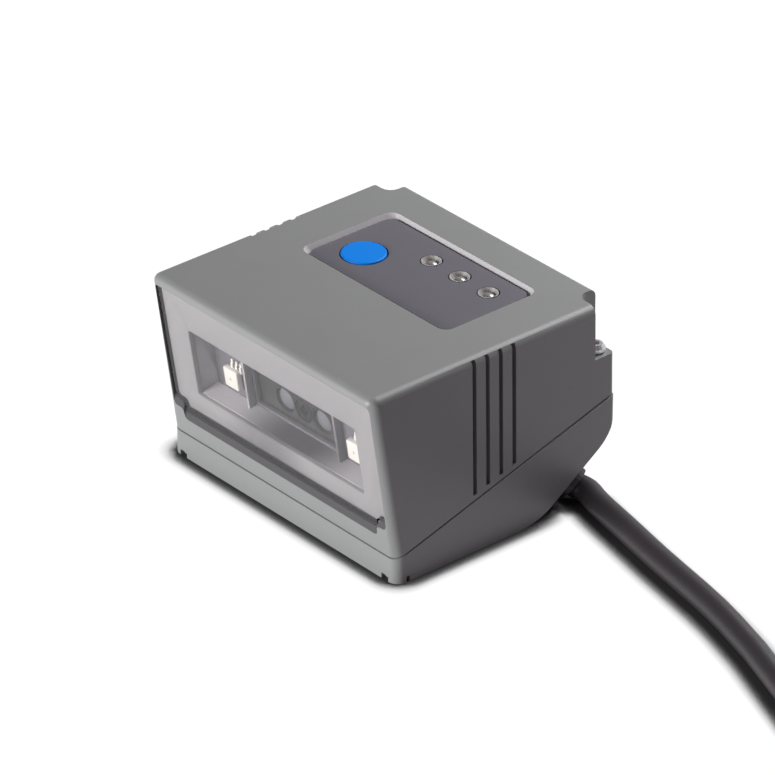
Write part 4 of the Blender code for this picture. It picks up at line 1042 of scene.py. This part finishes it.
@dataclass
class Cable:
    """Round cable with its strain relief, its tied coil and the plug on top of it.

    The stretch that is in view and the coil's place repeat the CAD source. The CAD coil is
    a plain ring, and here the cable is wound turn by turn in its room.
    """

    shop: Workshop
    diameter: float = 5.2 * MM
    length: float = 1.8
    outlet: Point = (0.0316, 0.0225, 0.0034)
    outlet_axis: Point = (0.62, 0.45, -0.64)
    insertion: float = 4.0 * MM
    nose: float = 0.15 * MM
    floor_gap: float = 0.05 * MM
    coil_centre: Span = (0.142, 0.029)
    middle_radius: float = 30.2 * MM
    coil_low: float = 1.1 * MM
    entry_angle: float = math.radians(-108.0)
    steps_per_turn: int = 18
    coil_turns: float = 8.5
    tail_shift: float = -1.7 * MM
    tail_height: float = 20.9 * MM

    def route(self) -> list[Vector]:
        """Lay out the cable's whole centreline.

        Returns:
            Points from inside the strain relief to the plug.
        """
        axis = Vector(self.outlet_axis).normalized()
        outlet = Vector(self.outlet)
        rest = self.diameter / 2.0 + self.floor_gap
        entry = outlet - axis * self.insertion
        leave = outlet + axis * self.nose
        lead = [
            entry, (entry + leave) / 2.0, leave,
            Vector((0.0349, 0.0233, rest + 0.0002)), Vector((0.0400, 0.0219, rest)),
            Vector((0.0502, 0.0197, rest)), Vector((0.0627, 0.0169, rest)),
            Vector((0.0830, 0.0128, rest)), Vector((0.0985, 0.0082, rest)),
        ]
        rear = Vector((
            self.coil_centre[0] + self.tail_shift, self.coil_centre[1] + self.middle_radius,
            self.tail_height))
        return smooth(lead, 3) + smooth(self.coil(rest) + [rear], 1)

    def coil(self, rest: float) -> list[Vector]:
        """Wind nine turns in three rows of three, then lead the end over the top.

        Args:
            rest: Height of the centreline over the surface that the cable lies on.

        Returns:
            Points from the first touch of the coil to the stretch before the plug.
        """
        # Lane and row of each turn in the coil's section, and of the end over the top
        cells = [
            (1, 0), (0, 0), (-1, 0), (-1, 1), (-1, 2), (0, 2), (0, 1), (1, 1), (1, 2), (0, 3.1)]
        # Where in its turn the cable moves over to the next cell, and how long it takes
        shifts = [(0.75, 0.25)] * 8 + [(0.16, 0.22)]
        knots = []
        for step in range(int(self.coil_turns * self.steps_per_turn) + 1):
            turn = step / self.steps_per_turn
            index = int(turn)
            start, share = shifts[index]
            blend = min(max((turn - index - start) / share, 0.0), 1.0)
            blend = blend * blend * (3.0 - 2.0 * blend)
            lane, row = Vector(cells[index]).lerp(Vector(cells[index + 1]), blend)
            radius = self.middle_radius + lane * self.diameter
            angle = self.entry_angle + 2.0 * math.pi * turn
            knots.append(Vector((
                self.coil_centre[0] + radius * math.cos(angle),
                self.coil_centre[1] + radius * math.sin(angle),
                self.coil_low + rest + row * self.diameter)))
        return knots

    def build(self) -> None:
        """Lay the cable and dress its fittings."""
        # Soft elastomer of the strain relief, dull, with a fine spark texture
        rubber = Moulded("strain_relief_tpe_black", "262427", 0.6).build()
        # Black PVC jacket, satin
        jacket = Moulded("cable_pvc_black", "2C282B", 0.45, grain_mm=0.3).build()
        self.shop.dress(["cable_gland", "cable_tie", "plug_body"], rubber)
        # Nickel-plated steel of the plug's shell
        steel = Metal("plug_nickel", "B9BABD", 0.25).build()
        self.shop.dress(["plug_shell"], steel)
        curve = bpy.data.curves.new("cable", "CURVE")
        curve.dimensions = "3D"
        curve.bevel_depth = self.diameter / 2.0
        curve.bevel_resolution = 5
        curve.use_fill_caps = True
        points = self.route()
        spline = curve.splines.new("POLY")
        spline.points.add(len(points) - 1)
        for target, point in zip(spline.points, points):
            target.co = (*point, 1.0)
        spline.use_smooth = True
        curve.materials.append(jacket)
        cable = bpy.data.objects.new("cable", curve)
        bpy.context.scene.collection.objects.link(cable)
        self.shop.stand_in(
            cable, Body.READER, "cable_black", ["cable_lead", "cable_coil", "cable_tail"])
        nodes = [self.shop.node(name) for name in (
            "cable_gland", "cable_tie", "plug_body", "plug_shell")]


# Studio


@dataclass
class Studio:
    """Pale floor, soft lamps and the camera at the photograph's angle."""

    eye: Point = (0.8418, -0.7194, 0.66055)
    pitch_down: float = 30.061
    heading: float = 49.416
    lens_mm: float = 303.8
    floor_half: float = 3.0
    floor_bounce: Colour = (0.3, 0.252, 0.29, 1.0)
    floor_seen: Colour = (0.06, 0.06, 0.06, 1.0)
    floor_glow: float = 0.985
    contact_reach: float = 4.5 * MM
    contact_range: Span = (0.7, 0.98)
    room_light: Colour = (0.13, 0.106, 0.126, 1.0)
    white: Colour = (1.0, 1.0, 1.0, 1.0)

    def build(self) -> None:
        """Build floor, light and camera."""
        bpy.context.scene.view_settings.view_transform = "Standard"
        self.floor()
        self.light()
        self.camera()

    def floor(self) -> None:
        """Lay a white floor with a painted contact shadow over the faint real shadow of the lamps,
        as a cut-out photograph has it.
        """
        made, tree = empty_material("floor_white")
        seen = ray_is(tree, "Camera", "Glossy", "Transmission")
        # What it throws back at the object is a tinted grey, and what is seen of it is white
        shade = mix_colour(tree, seen, self.floor_bounce, self.floor_seen)
        diffuse = add_node(tree, "ShaderNodeBsdfDiffuse", None, {"Color": shade})
        near = add_node(tree, "ShaderNodeAmbientOcclusion", {"samples": 8}, {
            "Distance": self.contact_reach})
        # Painted contact shadow: the glow goes out where the housing stands close over the floor
        contact = remap(
            tree, near.outputs["AO"], (0.0, self.floor_glow), self.contact_range, "SMOOTHSTEP")
        lift = add_node(tree, "ShaderNodeMath", {"operation": "MULTIPLY"}, {
            0: seen, 1: contact})
        glow = add_node(tree, "ShaderNodeEmission", None, {
            "Color": self.white, "Strength": lift.outputs["Value"]})
        both = add_node(tree, "ShaderNodeAddShader", None, {
            0: diffuse.outputs["BSDF"], 1: glow.outputs["Emission"]})
        add_node(tree, "ShaderNodeOutputMaterial", None, {"Surface": both.outputs["Shader"]})
        shape = bmesh.new()
        bmesh.ops.create_grid(shape, x_segments=1, y_segments=1, size=self.floor_half)
        ground = new_piece("floor", shape, made)

    def light(self) -> None:
        """Set the white surroundings, a low lamp in front and a high one behind."""
        world = bpy.data.worlds.new("white_room")
        world.use_nodes = True
        tree = world.node_tree
        tree.nodes.clear()
        # Pure white to look at, and a faint warm grey as light
        shown = mix_colour(
            tree, ray_is(tree, "Camera", "Transmission"), self.room_light, self.white)
        sky = add_node(tree, "ShaderNodeBackground", None, {"Color": shown, "Strength": 1.0})
        add_node(tree, "ShaderNodeOutputWorld", None, {"Surface": sky.outputs["Background"]})
        bpy.context.scene.world = world
        self.lamp("front", (-0.15, -0.98, 0.12), distance=1.0, size=0.5, power=17.5)
        self.lamp("rim", (0.05, 0.74, 0.67), distance=0.42, size=0.25, power=2.0)

    def lamp(
        self, name: str, direction: Point, distance: float, size: float, power: float,
    ) -> None:
        """Add one square lamp aimed at the object.

        Args:
            name: Name of the lamp.
            direction: Direction from the object to the lamp.
            distance: Distance in metres.
            size: Side of the lamp in metres.
            power: Power in watts.
        """
        data = bpy.data.lights.new(name, "AREA")
        data.size = size
        data.energy = power
        made = bpy.data.objects.new(name, data)
        towards = Vector(direction).normalized()
        made.location = towards * distance + Vector((0.0, 0.0, 0.02))
        made.rotation_euler = towards.to_track_quat("Z", "Y").to_euler()
        made.visible_camera = False
        bpy.context.scene.collection.objects.link(made)

    def camera(self) -> None:
        """Place the camera as the photograph was taken."""
        data = bpy.data.cameras.new("camera")
        data.sensor_width = 36.0
        data.lens = self.lens_mm
        data.clip_start = 0.01
        made = bpy.data.objects.new("camera", data)
        made.location = self.eye
        made.rotation_euler = (
            math.radians(90.0 - self.pitch_down), 0.0, math.radians(self.heading))
        bpy.context.scene.collection.objects.link(made)
        bpy.context.scene.camera = made


def main() -> None:
    """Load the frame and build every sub-assembly."""
    logging.basicConfig(level=logging.INFO, format="%(message)s")
    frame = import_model()
    shop = Workshop(frame)
    Studio().build()
    builders: list[Callable[[], None]] = [
        Cable(shop).build, Shells(shop).build, Window(shop).build,
        ControlPanel(shop).build, Inside(shop).build,
    ]
    for build in builders:
        build()
    LOG.info("%d pieces made", len(shop.made))


if __name__ == "__main__":
    main()
